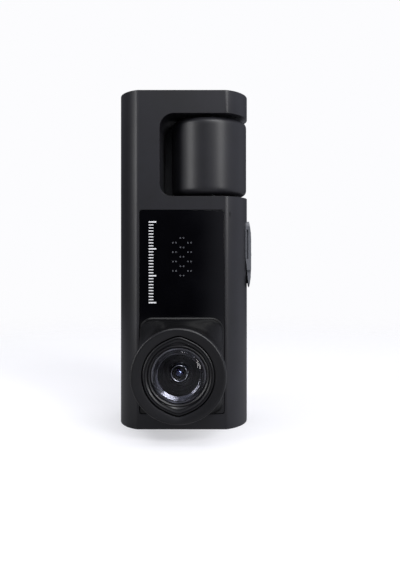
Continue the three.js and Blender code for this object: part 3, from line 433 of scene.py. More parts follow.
def loft(stations, steps=96):
    """Closed skin through loops, last to first. A station is (radius or function of the angle, y)."""
    bm = bmesh.new()
    loops = []
    for radius, y in stations:
        radius_of = radius if callable(radius) else (lambda angle, radius=radius: radius)
        loops.append(loop_at(bm, radius_of, y, steps))
    for first, second in zip(loops, loops[1:] + loops[:1]):
        bmesh.ops.bridge_loops(bm, edges=first + second)
    bmesh.ops.recalc_face_normals(bm, faces=bm.faces)
    return bm


def turned(profile, centre, axis, steps, closed=False):
    """Spins a profile of (radius, distance along the axis) through a full turn."""
    bm = bmesh.new()
    along_y = axis == "Y"
    verts = []
    for radius, distance in profile:
        co = (radius, distance, 0) if along_y else (radius, 0, distance)
        verts.append(bm.verts.new(co))
    ends = list(zip(verts, verts[1:]))
    if closed:
        ends.append((verts[-1], verts[0]))
    edges = [bm.edges.new(pair) for pair in ends]
    bmesh.ops.spin(
        bm, geom=verts + edges, cent=(0, 0, 0), axis=(0, 1, 0) if along_y else (0, 0, 1),
        angle=2 * pi, steps=steps, use_merge=True, use_duplicate=False)
    bmesh.ops.remove_doubles(bm, verts=bm.verts, dist=1e-3)
    bmesh.ops.dissolve_degenerate(bm, dist=1e-4, edges=bm.edges)
    bmesh.ops.recalc_face_normals(bm, faces=bm.faces)
    bmesh.ops.translate(bm, verts=bm.verts, vec=centre)
    return bm


def join(whole, part):
    """Adds one bmesh to another and frees it."""
    mesh = bpy.data.meshes.new("part")
    part.to_mesh(mesh)
    part.free()
    whole.from_mesh(mesh)
    bpy.data.meshes.remove(mesh)


def arc_points(cx, cy, radius, start, end, steps):
    """Points on an arc, from the start angle to the end angle in degrees."""
    return [
        (cx + radius * cos(radians(start + (end - start) * i / steps)),
         cy + radius * sin(radians(start + (end - start) * i / steps))) for i in range(steps + 1)]


def dome(radius, sag, apex, inwards, steps):
    """Profile of a glass's round face, from its apex to its edge. Inwards is 1 or -1 along the axis."""
    sphere = (radius ** 2 + sag ** 2) / (2 * sag)
    turns = [asin(radius / sphere) * step / steps for step in range(steps + 1)]
    return [(sphere * sin(turn), apex + inwards * (sphere - sphere * cos(turn))) for turn in turns]


def pointed_oval(width, height):
    """Polar radius of an oval with a point at the top and the bottom, between tangents and two long arcs."""
    radius, point = width / 2, height / 2
    touch = asin(radius / point)
    long_radius = (point ** 2 + radius ** 2) / (2 * radius)
    offset = long_radius - radius

    def arcs(angle):
        return -offset * abs(cos(angle)) + sqrt(long_radius ** 2 - (offset * sin(angle)) ** 2)

    def radius_of(angle):
        climb = asin(min(1.0, abs(sin(angle))))
        tangents = radius if climb < touch else radius / cos(climb - touch)
        return (tangents + arcs(angle)) / 2
    return radius_of


def soft_oval(width, height):
    """Pointed oval whose two points are slightly rounded."""
    sharp = pointed_oval(width, height)
    return lambda angle: sharp(angle) - 0.35 * max(0.0, 1 - abs(cos(angle)) / 0.12) ** 2 * 0.5


def rounded_square(half_width, half_height, corner, lift):
    """Polar radius of a rectangle with round corners, whose centre is lifted above the axis."""
    def radius_of(angle):
        dx, dz = cos(angle), sin(angle)
        low, high = 0.0, 60.0
        for _ in range(40):
            middle = (low + high) / 2
            px = abs(middle * dx) - (half_width - corner)
            pz = abs(middle * dz - lift) - (half_height - corner)
            outside = sqrt(max(px, 0) ** 2 + max(pz, 0) ** 2) + min(max(px, pz), 0) - corner
            low, high = (middle, high) if outside < 0 else (low, middle)
        return low
    return radius_of


def lens_pod(material):
    lift = (POD_LOW.z + POD_HIGH.z) / 2 - LENS_Z
    half_width = (POD_HIGH.x - POD_LOW.x) / 2
    half_height = (POD_HIGH.z - POD_LOW.z) / 2
    square = rounded_square(half_width, half_height, 3.9, lift)
    slim = rounded_square(half_width - 0.35, half_height - 0.35, 3.7, lift)
    front, back = POD_LOW.y, POD_HIGH.y

    def blend(outline, limit, soft):
        def radius_of(angle):
            a, b = outline(angle), limit
            mix = max(0.0, soft - abs(a - b)) / soft
            return min(a, b) - mix * mix * soft / 4
        return radius_of

    stations = [(square, back), (square, back - 0.9), (slim, back - 1.25)]
    flare = 7.0
    for step in range(1, 13):
        share = step / 12
        y = back - 1.25 - share * (back - 1.25 - front - 2.6)
        limit = RING_RADIUS - 0.4 + flare * (1 - share) ** 2.6
        stations.append((blend(slim, limit, 1.6), y))
    neck = RING_RADIUS - 0.4
    stations += [(neck, front + 1.2), (neck, front), (neck - 3.2, front), (neck - 3.2, back)]
    bm = loft(stations)
    new_piece("pod_shell", bm, material, "housing", ["lens_pod"], 30)


def lens_ring(material):
    oval = soft_oval(BEZEL_HIGH.x - BEZEL_LOW.x + 0.6, BEZEL_HIGH.z - BEZEL_LOW.z + 0.6)
    edge = 0.55
    stations = [(RING_RADIUS, RING_BACK), (RING_RADIUS, RING_FRONT + edge)]
    for turn in (22, 45, 68, 90):
        stations.append((
            RING_RADIUS - edge + edge * cos(radians(turn)), RING_FRONT + edge - edge * sin(radians(turn))))
    stations += [
        (RING_RADIUS - 0.95, RING_FRONT + 0.02),
        (lambda angle: oval(angle) + 0.35, RING_FRONT + 0.34),
        (lambda angle: oval(angle) + 0.12, RING_FRONT + 0.42),
        (oval, RING_FRONT + 0.62), (oval, RING_BACK)]
    bm = loft(stations, steps=160)
    new_piece("road_lens_ring", bm, material, "housing", ["lens_ring"], 25, False)


def lens_bezel(material):
    """Pointed bezel with two stepped lines that follow its outline and a round groove by the glass."""
    oval = soft_oval(BEZEL_HIGH.x - BEZEL_LOW.x, BEZEL_HIGH.z - BEZEL_LOW.z)
    front = BEZEL_LOW.y
    glass = GLASS_RADIUS

    def inside(distance):
        return lambda angle: oval(angle) - distance

    def towards_glass(distance, radius, share):
        return lambda angle: (oval(angle) - distance) * (1 - share) + radius * share
    stations = [
        (oval, BEZEL_HIGH.y), (oval, front + 0.24), (inside(0.1), front + 0.06), (inside(0.24), front),
        (inside(0.5), front + 0.04), (inside(0.52), front + 0.38), (inside(0.74), front + 0.43),
        (inside(0.76), front + 0.1), (inside(0.86), front + 0.08),
        (towards_glass(1.15, glass + 0.95, 0.3), front + 0.26),
        (towards_glass(1.17, glass + 0.95, 0.3), front + 0.6),
        (towards_glass(1.3, glass + 0.95, 0.45), front + 0.66),
        (towards_glass(1.32, glass + 0.95, 0.45), front + 0.34),
        (glass + 1.0, front + 0.6), (glass + 0.98, front + 1.1), (glass + 0.8, front + 1.1),
        (glass + 0.78, front + 0.66), (glass + 0.62, front + 0.6), (glass + 0.45, front + 0.68),
        (glass + 0.22, front + 0.95), (glass + 0.2, BEZEL_HIGH.y)]
    bm = loft(stations, steps=192)
    new_piece("road_lens_bezel", bm, material, "housing", ["lens_bezel"], 25, False)


def front_glass(material):
    """Wide-angle front element: steep shoulder, flatter crown, and a hollow back."""
    radius = GLASS_RADIUS
    seat = GLASS_HIGH.y - GLASS_BACK_ROOM - 0.03
    hollow = [(6.3 * (1 - i / 10), seat - 0.15 - 0.55 * sin(pi / 2 * i / 10)) for i in range(11)]
    profile = dome(radius, 1.95, GLASS_LOW.y, 1, 14) + [(radius, seat), (6.3, seat)] + hollow
    bm = turned(profile, LENS_AXIS, "Y", 96)
    new_piece("road_front_glass", bm, material, "housing", ["front_lens"], 60, False)


def lens_cone(baffle, polished, ring_material):
    """Behind the front glass: a polished chamfer ring, a dark stop plate and two bright stop rings."""
    front = CONE_LOW.y
    outer = (CONE_HIGH.x - CONE_LOW.x) / 2
    stop = CONE_STOP_RADIUS
    floor_y = front + 0.9
    plate = [(2.95, floor_y + 3.6), (outer, floor_y + 3.6), (outer, floor_y + 0.1), (stop, floor_y + 0.1)]
    plate += [(stop - 0.05, floor_y)]
    for radius in (5.0, 3.9):
        plate += [(radius, floor_y + 0.02), (radius - 0.04, floor_y + 0.12), (radius - 0.14, floor_y + 0.12),
                  (radius - 0.18, floor_y + 0.02)]
    plate += [(3.05, floor_y + 0.04), (2.95, floor_y + 0.12)]
    bm = turned(plate, LENS_AXIS, "Y", 96, closed=True)
    new_piece("road_lens_baffle", bm, baffle, "housing", ["lens_cone"], 30, False)
    seat = GLASS_HIGH.y
    span = outer - stop
    chamfer = [(BARREL_LIP - 0.1, seat - 0.03), (outer, seat - 0.03)]
    for share in (0.0, 0.1, 0.3, 0.5, 0.7, 0.85, 1.0):
        depth = span * (0.36 * share + 0.06 * share ** 4)
        chamfer.append((outer - span * share, seat - GLASS_BACK_ROOM + depth))
    chamfer += [(stop, floor_y + 0.05), (BARREL_LIP - 0.1, floor_y + 0.05)]
    bm = turned(chamfer, LENS_AXIS, "Y", 96, closed=True)
    new_piece("road_lens_chamfer", bm, polished, "housing", [], 35, False)
    rings = bmesh.new()
    for radius, width in ((2.84, 0.1), (2.2, 0.16)):
        ring = turned(
            [(radius + width, floor_y + 0.3), (radius + width, floor_y - 0.04),
             (radius + width / 2, floor_y - 0.1), (radius, floor_y - 0.04), (radius, floor_y + 0.3)],
            LENS_AXIS, "Y", 72, closed=True)
        join(rings, ring)
    new_piece("road_stop_rings", rings, ring_material, "housing", [], 40, False)


def inner_lens(glass_material, cell_material):
    """Small second element in its black cell, level with the stop plate."""
    front = CONE_LOW.y + 0.75
    radius = 2.15
    pupil = [(1.25 * sin(radians(a)), front - 0.25 + 1.25 * (1 - cos(radians(a)))) for a in range(0, 78, 7)]
    bm = turned(pupil + [(1.24, front + 1.6), (0, front + 1.6)], LENS_AXIS, "Y", 64)
    new_piece("road_inner_glass", bm, glass_material, "housing", ["inner_lens"], 50, False)
    cell = [(radius, front + 1.7), (radius, front + 0.2), (radius - 0.1, front + 0.12), (1.7, front + 0.3),
            (1.66, front + 0.5), (1.5, front + 0.5), (1.45, front + 0.32), (1.3, front + 0.36),
            (1.28, front + 1.7)]
    bm = turned(cell, LENS_AXIS, "Y", 64, closed=True)
    new_piece("road_inner_cell", bm, cell_material, "housing", [], 35, False)


def depth_edges(bm):
    """Edges that run straight from front to back."""
    return [e for e in bm.edges
            if near(e.verts[0].co.x, e.verts[1].co.x) and near(e.verts[0].co.z, e.verts[1].co.z)]


def fascia(material, dot_material, mark_material):
    """Glossy panel with round corners and a chamfer round its face."""
    bm = bmesh.new()
    made = bmesh.ops.create_cube(bm, size=1)
    bmesh.ops.scale(bm, vec=PANEL_HIGH - PANEL_LOW, verts=made["verts"])
    bmesh.ops.translate(bm, vec=(PANEL_HIGH + PANEL_LOW) / 2, verts=made["verts"])
    bevel_edges(bm, depth_edges(bm), 0.8, 5)
    right_edge = edges_where(bm, lambda co: near(co.y, PANEL_LOW.y) and near(co.x, PANEL_HIGH.x), 60)
    bevel_edges(bm, right_edge, 0.42, 3)
    bevel_edges(bm, edges_where(bm, lambda co: near(co.y, PANEL_LOW.y), 60), 0.1, 2)
    new_piece("fascia_panel", bm, material, "housing", ["front_panel"])
    grille_holes(dot_material)
    tick_marks(mark_material)


def grille_places():
    for column in (-1, 0, 1):
        rows = 5 if column == 0 else 4
        for row in range(rows):
            z = GRILLE_Z + (row - (rows - 1) / 2) * GRILLE_ROW_PITCH
            for side in (-GRILLE_PAIR, GRILLE_PAIR):
                yield column * GRILLE_COLUMN_PITCH + side, z


def grille_holes(material):
    """Rims of the sound holes: tiny turned cups let into the fascia, all in one piece."""
    whole = bmesh.new()
    for x, z in grille_places():
        profile = [
            (0.0, 0.03), (0.12, 0.01), (0.17, -0.03), (0.21, -0.03), (0.24, 0.02), (0.24, 0.12), (0.0, 0.12)]
        cup = turned(profile, (x, PANEL_LOW.y, z), "Y", 16)
        join(whole, cup)
    new_piece("sound_hole_cups", whole, material, "housing", [], 50, False)


def tick_marks(material):
    """Printed scale of plain ticks where a maker would print its own marks."""
    bm = bmesh.new()
    pitch = MARK_LENGTH / (MARK_COUNT - 1)
    for index in range(MARK_COUNT):
        long_tick = index % MARK_GROUP == 0
        width = MARK_WIDTH if long_tick else MARK_WIDTH * 0.62
        made = bmesh.ops.create_cube(bm, size=1)
        bmesh.ops.scale(bm, vec=(width, 0.03, 0.42 if long_tick else 0.3), verts=made["verts"])
        bmesh.ops.translate(
            bm, vec=(MARK_X - MARK_WIDTH / 2 + width / 2, PANEL_LOW.y - 0.012, MARK_TOP - index * pitch),
            verts=made["verts"])
    new_piece("printed_ticks", bm, material, "housing", [], 30)


# ---- Cabin camera drum
DRUM_ROUND = 2.0
CABIN_HOLE = 6.7


def drum_shell(material):
    """Cup with rounded ends and a round hole for the cabin camera on its +Y side."""
    low, high = DRUM_LOW.z, DRUM_HIGH.z
    radius, corner = DRUM_RADIUS, DRUM_ROUND
    rows = 26                   # so that the hole's edge follows its circle closely
    profile = [(3.3, low)] + arc_points(radius - corner, low + corner, corner, -90, 0, 7)
    straight_low, straight_high = low + corner, high - corner
    profile += [(radius, straight_low + (straight_high - straight_low) * i / rows) for i in range(1, rows)]
    profile += arc_points(radius - corner, high - corner, corner, 0, 90, 7) + [(2.15, high)]
    bm = turned(profile, (0, 0, 0), "Z", 144)

    def off_axis(co):
        return sqrt(co.x ** 2 + (co.z - CABIN_Z) ** 2)

    wall = [
        f for f in bm.faces
        if f.calc_center_median().y > 0 and off_axis(f.calc_center_median()) < CABIN_HOLE]
    bmesh.ops.delete(bm, geom=wall, context="FACES")
    rim = [
        e for e in bm.edges
        if len(e.link_faces) == 1 and e.verts[0].co.y > 8 and abs(e.verts[0].co.z - CABIN_Z) < 9]
    for vert in {v for e in rim for v in e.verts}:
        away = Vector((vert.co.x, vert.co.z - CABIN_Z)).normalized() * CABIN_HOLE
        vert.co = (away.x, sqrt(radius ** 2 - away.x ** 2), CABIN_Z + away.y)
    made = bmesh.ops.extrude_edge_only(bm, edges=rim)
    inner = [v for v in made["geom"] if isinstance(v, bmesh.types.BMVert)]
    for vert in inner:
        vert.co.y = CABIN_RING_LOW.y - 1.0
    bmesh.ops.recalc_face_normals(bm, faces=bm.faces)
    bm.normal_update()
    rim_edges = [
        e for e in bm.edges if len(e.link_faces) == 2 and e.calc_face_angle(0) > radians(40)
        and near(off_axis(e.verts[0].co), CABIN_HOLE, 0.01) and e.verts[0].co.y > 8]
    bevel_edges(bm, rim_edges, 0.3, 3)
    bmesh.ops.translate(bm, verts=bm.verts, vec=(DRUM_X, 0, 0))
    bmesh.ops.solidify(bm, geom=list(bm.faces), thickness=0.9)
    new_piece(
        "drum_cup", bm, material, "cabin_drum", ["drum_shell", "drum_base"], 35, False)


def cabin_camera(ring_material, glass_material, baffle_material):
    face = CABIN_RING_HIGH.y
    outer = (CABIN_RING_HIGH.x - CABIN_RING_LOW.x) / 2
    ring = [
        (outer, face - 2.6), (outer, face - 0.35), (outer - 0.12, face - 0.1), (outer - 0.4, face),
        (5.1, face - 0.1), (4.85, face - 0.35), (4.6, face - 0.5), (4.6, face - 2.6)]
    bm = turned(ring, (DRUM_X, 0, CABIN_Z), "Y", 96, closed=True)
    new_piece("cabin_camera_ring", bm, ring_material, "cabin_drum", ["cabin_bezel"], 30, False)
    front = CABIN_GLASS_HIGH.y
    radius = (CABIN_GLASS_HIGH.x - CABIN_GLASS_LOW.x) / 2
    profile = dome(radius, 1.1, front, -1, 12) + [(radius, front - 2.2), (0, front - 1.4)]
    bm = turned(profile, (DRUM_X, 0, CABIN_Z), "Y", 96)
    new_piece("cabin_front_glass", bm, glass_material, "cabin_drum", ["cabin_lens"], 60, False)
    baffle = [
        (4.5, face - 2.75), (4.5, face - 8), (1.2, face - 8), (1.2, face - 5.6), (1.7, face - 5.2),
        (2.2, face - 5.2), (2.3, face - 4.9), (3.0, face - 4.1), (3.1, face - 3.9), (3.9, face - 2.9)]
    bm = turned(baffle, (DRUM_X, 0, CABIN_Z), "Y", 64, closed=True)
    new_piece(
        "cabin_camera_baffle", bm, baffle_material, "cabin_drum", ["cabin_barrel"], 30,
        False)


# ---- Mount shoe, latch, sockets, keys and screws
def refined_copy(node, name, material, body, bevel):
    """Copy of a CAD piece with its flat faces whole again and its edges rounded."""
    bm = bmesh.new()
    bm.from_mesh(frame["nodes"][node].data)
    bmesh.ops.scale(bm, vec=(1 / MM, 1 / MM, 1 / MM), verts=bm.verts)
    bmesh.ops.remove_doubles(bm, verts=bm.verts, dist=1e-3)
    bmesh.ops.dissolve_limit(
        bm, angle_limit=radians(1), use_dissolve_boundaries=False, verts=bm.verts, edges=bm.edges)
    bmesh.ops.recalc_face_normals(bm, faces=bm.faces)
    bevel_edges(bm, edges_where(bm, lambda co: True, 30), bevel, 2)
    new_piece(name, bm, material, body, [node], 30)


def key_cap(key, material):
    low, _ = box_mm(key)
    x, z = middle_xz(key)
    back = HALF_DEPTH
    dish = [(0, back - 0.16), (0.9, back - 0.13), (1.5, back - 0.04), (1.75, back)]
    rim = arc_points(KEY_RADIUS - 0.28, back - 0.28, 0.28, 90, 0, 4)
    flange = KEY_RADIUS + 0.45
    profile = dish + rim + [(KEY_RADIUS, back - 2.1), (flange, back - 2.1), (flange, low.y), (0, low.y)]
    bm = turned(profile, (x, 0, z), "Y", 48)
    new_piece(key + "_cap", bm, material, key, [key], 35, False)


def cross_screw(node, axis, material):
    """Countersunk screw with a cross recess, head outwards."""
    low, high = box_mm(node)
    along = "y" if axis == "Y" else "x"
    face = getattr(high, along)
    tip = getattr(low, along)
    radius = (high.z - low.z) / 2
    shank = radius * 0.47
    profile = [(0, tip), (shank * 0.6, tip), (shank, tip + 0.5), (shank, face - 1.0), (radius, face - 0.35),
               (radius, face - 0.18), (radius - 0.2, face), (0, face)]
    bm = turned(profile, (0, 0, 0), "Y", 32)
    slot_half, slot_reach = radius * 0.12, radius * 0.6
    cap = [f for f in bm.faces if f.normal.y > 0.99 and f.calc_center_median().y > face - 0.01]
    bmesh.ops.dissolve_faces(bm, faces=cap, use_verts=False)
    planes = [((v, 0, 0), (1, 0, 0)) for v in (-slot_reach, -slot_half, slot_half, slot_reach)]
    planes += [((0, 0, v), (0, 0, 1)) for v in (-slot_reach, -slot_half, slot_half, slot_reach)]
    for point, normal in planes:
        top = [f for f in bm.faces if f.normal.y > 0.99 and f.calc_center_median().y > face - 0.01]
        cut_plane(bm, point, normal, top)
    recess = []
    for f in bm.faces:
        middle = f.calc_center_median()
        if f.normal.y < 0.99 or middle.y < face - 0.01:
            continue
        across = abs(middle.x) < slot_half and abs(middle.z) < slot_reach
        upright = abs(middle.z) < slot_half and abs(middle.x) < slot_reach
        if across or upright:
            recess.append(f)
    sink_faces(bm, recess, (0, -min(0.6, radius * 0.4), 0))
    if axis == "X":
        bmesh.ops.rotate(bm, cent=(0, 0, 0), matrix=Matrix.Rotation(-pi / 2, 3, "Z"), verts=bm.verts)
        bmesh.ops.translate(bm, verts=bm.verts, vec=(0, (low.y + high.y) / 2, (low.z + high.z) / 2))
    else:
        bmesh.ops.rotate(bm, cent=(0, 0, 0), matrix=Matrix.Rotation(radians(27), 3, "Y"), verts=bm.verts)
        bmesh.ops.translate(bm, verts=bm.verts, vec=((low.x + high.x) / 2, 0, (low.z + high.z) / 2))
    new_piece(node + "_head", bm, material, "housing", [node], 35)


def screen(material):
    """Screen window with round corners and a bevelled rim."""
    bm = bmesh.new()
    made = bmesh.ops.create_cube(bm, size=1)
    bmesh.ops.scale(bm, vec=SCREEN_HIGH - SCREEN_LOW, verts=made["verts"])
    bmesh.ops.translate(bm, vec=(SCREEN_HIGH + SCREEN_LOW) / 2, verts=made["verts"])
    bevel_edges(bm, depth_edges(bm), 1.35, 6)
    bevel_edges(bm, edges_where(bm, lambda co: near(co.y, SCREEN_HIGH.y), 60), 0.3, 3)
    new_piece("screen_glass_pane", bm, material, "housing", ["screen_window"])


# ---- Materials
def linear(hex_colour):
    """sRGB hex to linear RGBA."""
    values = [int(hex_colour[i:i + 2], 16) / 255 for i in (1, 3, 5)]
    return [v / 12.92 if v <= 0.04045 else ((v + 0.055) / 1.055) ** 2.4 for v in values] + [1.0]


def add_node(material, kind, settings=None, links=None):
    """Adds a node, sets its properties and input values, and links inputs to outputs of other nodes."""
    node = material.node_tree.nodes.new(kind)
    for key, value in (settings or {}).items():
        if key in node.inputs:
            node.inputs[key].default_value = value
        else:
            setattr(node, key, value)
    for key, source in (links or {}).items():
        material.node_tree.links.new(source, node.inputs[key])
    return node


def new_material(name, colour, **values):
    """Material with a Principled shader whose constant values sit on its own sockets."""
    material = bpy.data.materials.new(name)
    material.use_nodes = True
    shader = material.node_tree.nodes["Principled BSDF"]
    shader.inputs["Base Color"].default_value = linear(colour)
    for key, value in values.items():
        shader.inputs[key.replace("_", " ")].default_value = value
    return material, shader


def link(material, source, target):
    material.node_tree.links.new(source, target)


def grain(material, size_mm, detail=2.0):
    """Noise on Object coordinates whose grains are size_mm across."""
    place = add_node(material, "ShaderNodeTexCoord")
    noise = add_node(
        material, "ShaderNodeTexNoise", {"Scale": 1 / (size_mm * MM), "Detail": detail, "Roughness": 0.55},
        {"Vector": place.outputs["Object"]})
    return noise.outputs["Fac"]


def spread(material, noise, low, high):
    """Maps the middle of a noise onto the range low to high."""
    return add_node(
        material, "ShaderNodeMapRange",
        {"From Min": 0.3, "From Max": 0.7, "To Min": low, "To Max": high}, {"Value": noise}).outputs["Result"]


def worn(material, shader, noise, low, high):
    """Roughness that wanders between two values with the noise."""
    link(material, spread(material, noise, low, high), shader.inputs["Roughness"])


def bumpy(material, shader, factor, strength, distance_mm):
    bump = add_node(
        material, "ShaderNodeBump", {"Strength": strength, "Distance": distance_mm * MM}, {"Height": factor})
    link(material, bump.outputs["Normal"], shader.inputs["Normal"])


def tint(material, shader, noise, first, second):
    """Colour that drifts between two hex colours with the noise."""
    mix = add_node(material, "ShaderNodeMix", {"data_type": "RGBA"})
    colours = [socket for socket in mix.inputs if socket.type == "RGBA"]
    colours[0].default_value = linear(first)
    colours[1].default_value = linear(second)
    link(material, spread(material, noise, 0.0, 1.0), mix.inputs[0])
    output = [socket for socket in mix.outputs if socket.type == "RGBA"][0]
    link(material, output, shader.inputs["Base Color"])


def moulded_abs():
    """Black ABS with a fine spark-eroded texture: soft broad highlights with a faint grain."""
    material, shader = new_material("moulded_black_abs", "#1c1c1f", IOR=1.5, Roughness=0.41)
    fine = grain(material, 0.22)        # the real texture is about 0.05 mm; drawn coarser so that it shows
    broad = grain(material, 9.0, 3.0)
    tint(material, shader, broad, "#1a1a1d", "#1e1e23")
    worn(material, shader, fine, 0.37, 0.45)
    bumpy(material, shader, fine, 0.16, 0.03)
    return material


def satin_ring():
    """Fine-turned black polycarbonate: a faint ring pattern round the lens axis."""
    material, shader = new_material("turned_black_polycarbonate", "#0e0e11", IOR=1.5, Roughness=0.33)
    place = add_node(material, "ShaderNodeTexCoord")
    shift = add_node(
        material, "ShaderNodeMapping", {"Location": (0, 0, -LENS_Z * MM)},
        {"Vector": place.outputs["Object"]})
    rings = add_node(
        material, "ShaderNodeTexWave",
        {"wave_type": "RINGS", "rings_direction": "Y", "Scale": 1 / (0.28 * MM) / 20, "Distortion": 0.4,
         "Detail": 1.0, "Detail Scale": 2.0},
        {"Vector": shift.outputs["Vector"]})
    fine = grain(material, 0.25)
    worn(material, shader, fine, 0.28, 0.38)
    bumpy(material, shader, rings.outputs["Fac"], 0.05, 0.02)
    return material


def violet_glass():
    """Small inner element whose coating glows violet and blue where light catches it."""
    material, shader = new_material(
        "violet_coated_glass", "#0c1026", IOR=1.7, Roughness=0.02, Specular_IOR_Level=0.9)
    shader.inputs["Specular Tint"].default_value = linear("#a9c8ff")
    shader.inputs["Coat Weight"].default_value = 0.8
    film = grain(material, 1.5, 1.0)
    tint(material, shader, film, "#0b0f24", "#1a1030")
    return material


def surface(name, colour, size_mm, rough=None, colours=None, relief=None, detail=2.0, **values):
    """Material whose roughness, colour and relief all follow one grain of a real size."""
    material, shader = new_material(name, colour, **values)
    noise = grain(material, size_mm, detail)
    if rough:
        worn(material, shader, noise, *rough)
    if colours:
        tint(material, shader, noise, *colours)
    if relief:
        bumpy(material, shader, noise, *relief)
    return material


abs_black = moulded_abs()
ring_black = satin_ring()
inner_glass = violet_glass()
# Black ABS from a stoned mould: smoother and darker than the housing.
pod_black = surface(
    "smooth_black_abs", "#060607", 0.3, rough=(0.3, 0.38), relief=(0.06, 0.02), IOR=1.4, Roughness=0.34)
# Grey satin paint on cast zinc, for the wear faces of the mount.
shoe_grey = surface(
    "grey_painted_zinc", "#66686d", 0.2, rough=(0.36, 0.48), colours=("#5f6166", "#6d6f75"),
    relief=(0.1, 0.02), IOR=1.5, Roughness=0.42)
# Polished dark edge of the lens mount, which mirrors the softboxes as crescents.
polished = surface("polished_lens_edge", "#747478", 0.6, rough=(0.1, 0.22), Metallic=1.0, Roughness=0.16)
# Back-painted black acrylic: mirror-like, with the lightest haze from handling.
acrylic = surface(
    "polished_black_acrylic", "#050507", 14.0, rough=(0.035, 0.09), colours=("#040406", "#07070a"),
    detail=4.0, IOR=1.49, Roughness=0.05)
# Optical glass with an anti-reflection film: the low index keeps the rings behind it in view.
glass = surface(
    "coated_optical_glass", "#f7f8ff", 6.0, rough=(0.0, 0.012), detail=1.0,
    IOR=1.27, Roughness=0.0, Transmission_Weight=1.0)
# Anodised and blackened baffle: nearly no light comes back from it.
baffle_black = surface(
    "blackened_baffle", "#040405", 0.2, rough=(0.5, 0.7), relief=(0.1, 0.02), IOR=1.3, Roughness=0.6)
# Plated steel, turned: bright with fine scratches.
steel = surface(
    "plated_turned_steel", "#b8b9bc", 0.15, rough=(0.2, 0.38), relief=(0.08, 0.01),
    Metallic=1.0, Roughness=0.28)
# Black-oxide steel of the screws: dark, with an uneven sheen.
oxide = surface("black_oxide_steel", "#2a2a2d", 0.15, rough=(0.3, 0.5), Metallic=0.9, Roughness=0.4)
# Moulded silicone of the keys: matt with a fine bloom.
rubber = surface(
    "moulded_silicone", "#1d1d1f", 0.2, rough=(0.62, 0.8), relief=(0.15, 0.03), IOR=1.42, Roughness=0.72)
# Green solder resist over woven glass cloth, whose threads are about 0.4 mm apart.
resist = surface(
    "green_solder_resist", "#12432a", 0.4, colours=("#0f3b24", "#175233"), relief=(0.1, 0.03),
    IOR=1.5, Roughness=0.35)
# Pad-printed white ink: dense, a little uneven.
ink = surface("pad_printed_white_ink", "#e9eaec", 0.2, colours=("#dcdde0", "#f6f7f8"), IOR=1.5, Roughness=0.5)
# Pierced edges of the sound holes: real rims, whose light grey colour is a painted highlight for where bare
# acrylic catches the light.
rim_painted_highlight = surface(
    "hole_rim_painted_highlight", "#6c6e74", 0.12, colours=("#55575d", "#85878d"), IOR=1.49, Roughness=0.35)
# Black moulding compound of chips and cases: dull, with a fine pitted skin.
compound = surface(
    "black_moulding_compound", "#161617", 0.18, rough=(0.45, 0.65), relief=(0.12, 0.02),
    IOR=1.5, Roughness=0.55)
# Black-backed cover glass of the screen: smooth and glossy, with the faintest haze.
cover_glass = surface(
    "screen_cover_glass", "#08090c", 11.0, rough=(0.02, 0.07), detail=3.0, IOR=1.52, Roughness=0.04)


# ---- Putting it together
front_shell(abs_black)
rear_cover(abs_black)
lens_pod(pod_black)
lens_ring(ring_black)
lens_bezel(ring_black)
front_glass(glass)
lens_cone(baffle_black, polished, steel)
inner_lens(inner_glass, baffle_black)
# The sound-hole rims carry a painted highlight in their grey colour.
fascia(acrylic, rim_painted_highlight, ink)
drum_shell(abs_black)
cabin_camera(ring_black, glass, baffle_black)
refined_copy("mount_shoe", "shoe_plate", shoe_grey, "housing", 0.22)
refined_copy("latch_button", "latch_push", abs_black, "latch", 0.25)
refined_copy("usb_socket", "charging_socket", steel, "housing", 0.08)
refined_copy("memory_card", "card", acrylic, "housing", 0.12)
for key in KEYS:
    key_cap(key, rubber)
for screw in COVER_SCREWS:
    cross_screw(screw, "Y", oxide)
for screw in SHOE_SCREWS:
    cross_screw(screw, "X", oxide)
screen(cover_glass)

# Material of every node that comes over from the CAD model, by its slot.
SLOT_MATERIAL = {
    "housing_plastic": abs_black, "fascia_acrylic": acrylic, "ring_metal": ring_black,
    "lens_glass": inner_glass, "circuit_board": resist, "black_component": compound,
    "bright_steel": steel, "key_rubber": rubber, "screen_glass": cover_glass}
for part in frame["record"]["subparts"]:
    data = frame["nodes"][part["node"]].data
    data.materials.clear()
    data.materials.append(SLOT_MATERIAL[part["material_slot"]])


# ---- Floor, light and camera
VIEW_DISTANCE = 200 * MM
VIEW_LENS = 39.7                # focal length of the view in mm, on a 36 mm sensor
VIEW_X = 12.1 * MM              # the eye stands to the right of the middle, at mid height
VIEW_HEIGHT = 56.9 * MM


def softbox(name, place, target, width, height, power):
    light = bpy.data.lights.new(name, "AREA")
    light.shape = "RECTANGLE"
    light.size = width
    light.size_y = height
    light.energy = power
    lamp = bpy.data.objects.new(name, light)
    lamp.location = place
    lamp.rotation_euler = (Vector(target) - Vector(place)).to_track_quat("-Z", "Y").to_euler()
    bpy.context.collection.objects.link(lamp)


def ranged(owner, source, start, end, low, high):
    """Smooth step of a value between start and end onto low and high."""
    return add_node(
        owner, "ShaderNodeMapRange",
        {"interpolation_type": "SMOOTHSTEP", "From Min": start, "From Max": end,
         "To Min": low, "To Max": high},
        {"Value": source}).outputs["Result"]


def combined(owner, first, second, operation="ADD"):
    """Two values added, or joined by another operation."""
    node = add_node(owner, "ShaderNodeMath", {"operation": operation})
    link(owner, first, node.inputs[0])
    link(owner, second, node.inputs[1])
    return node.outputs["Value"]


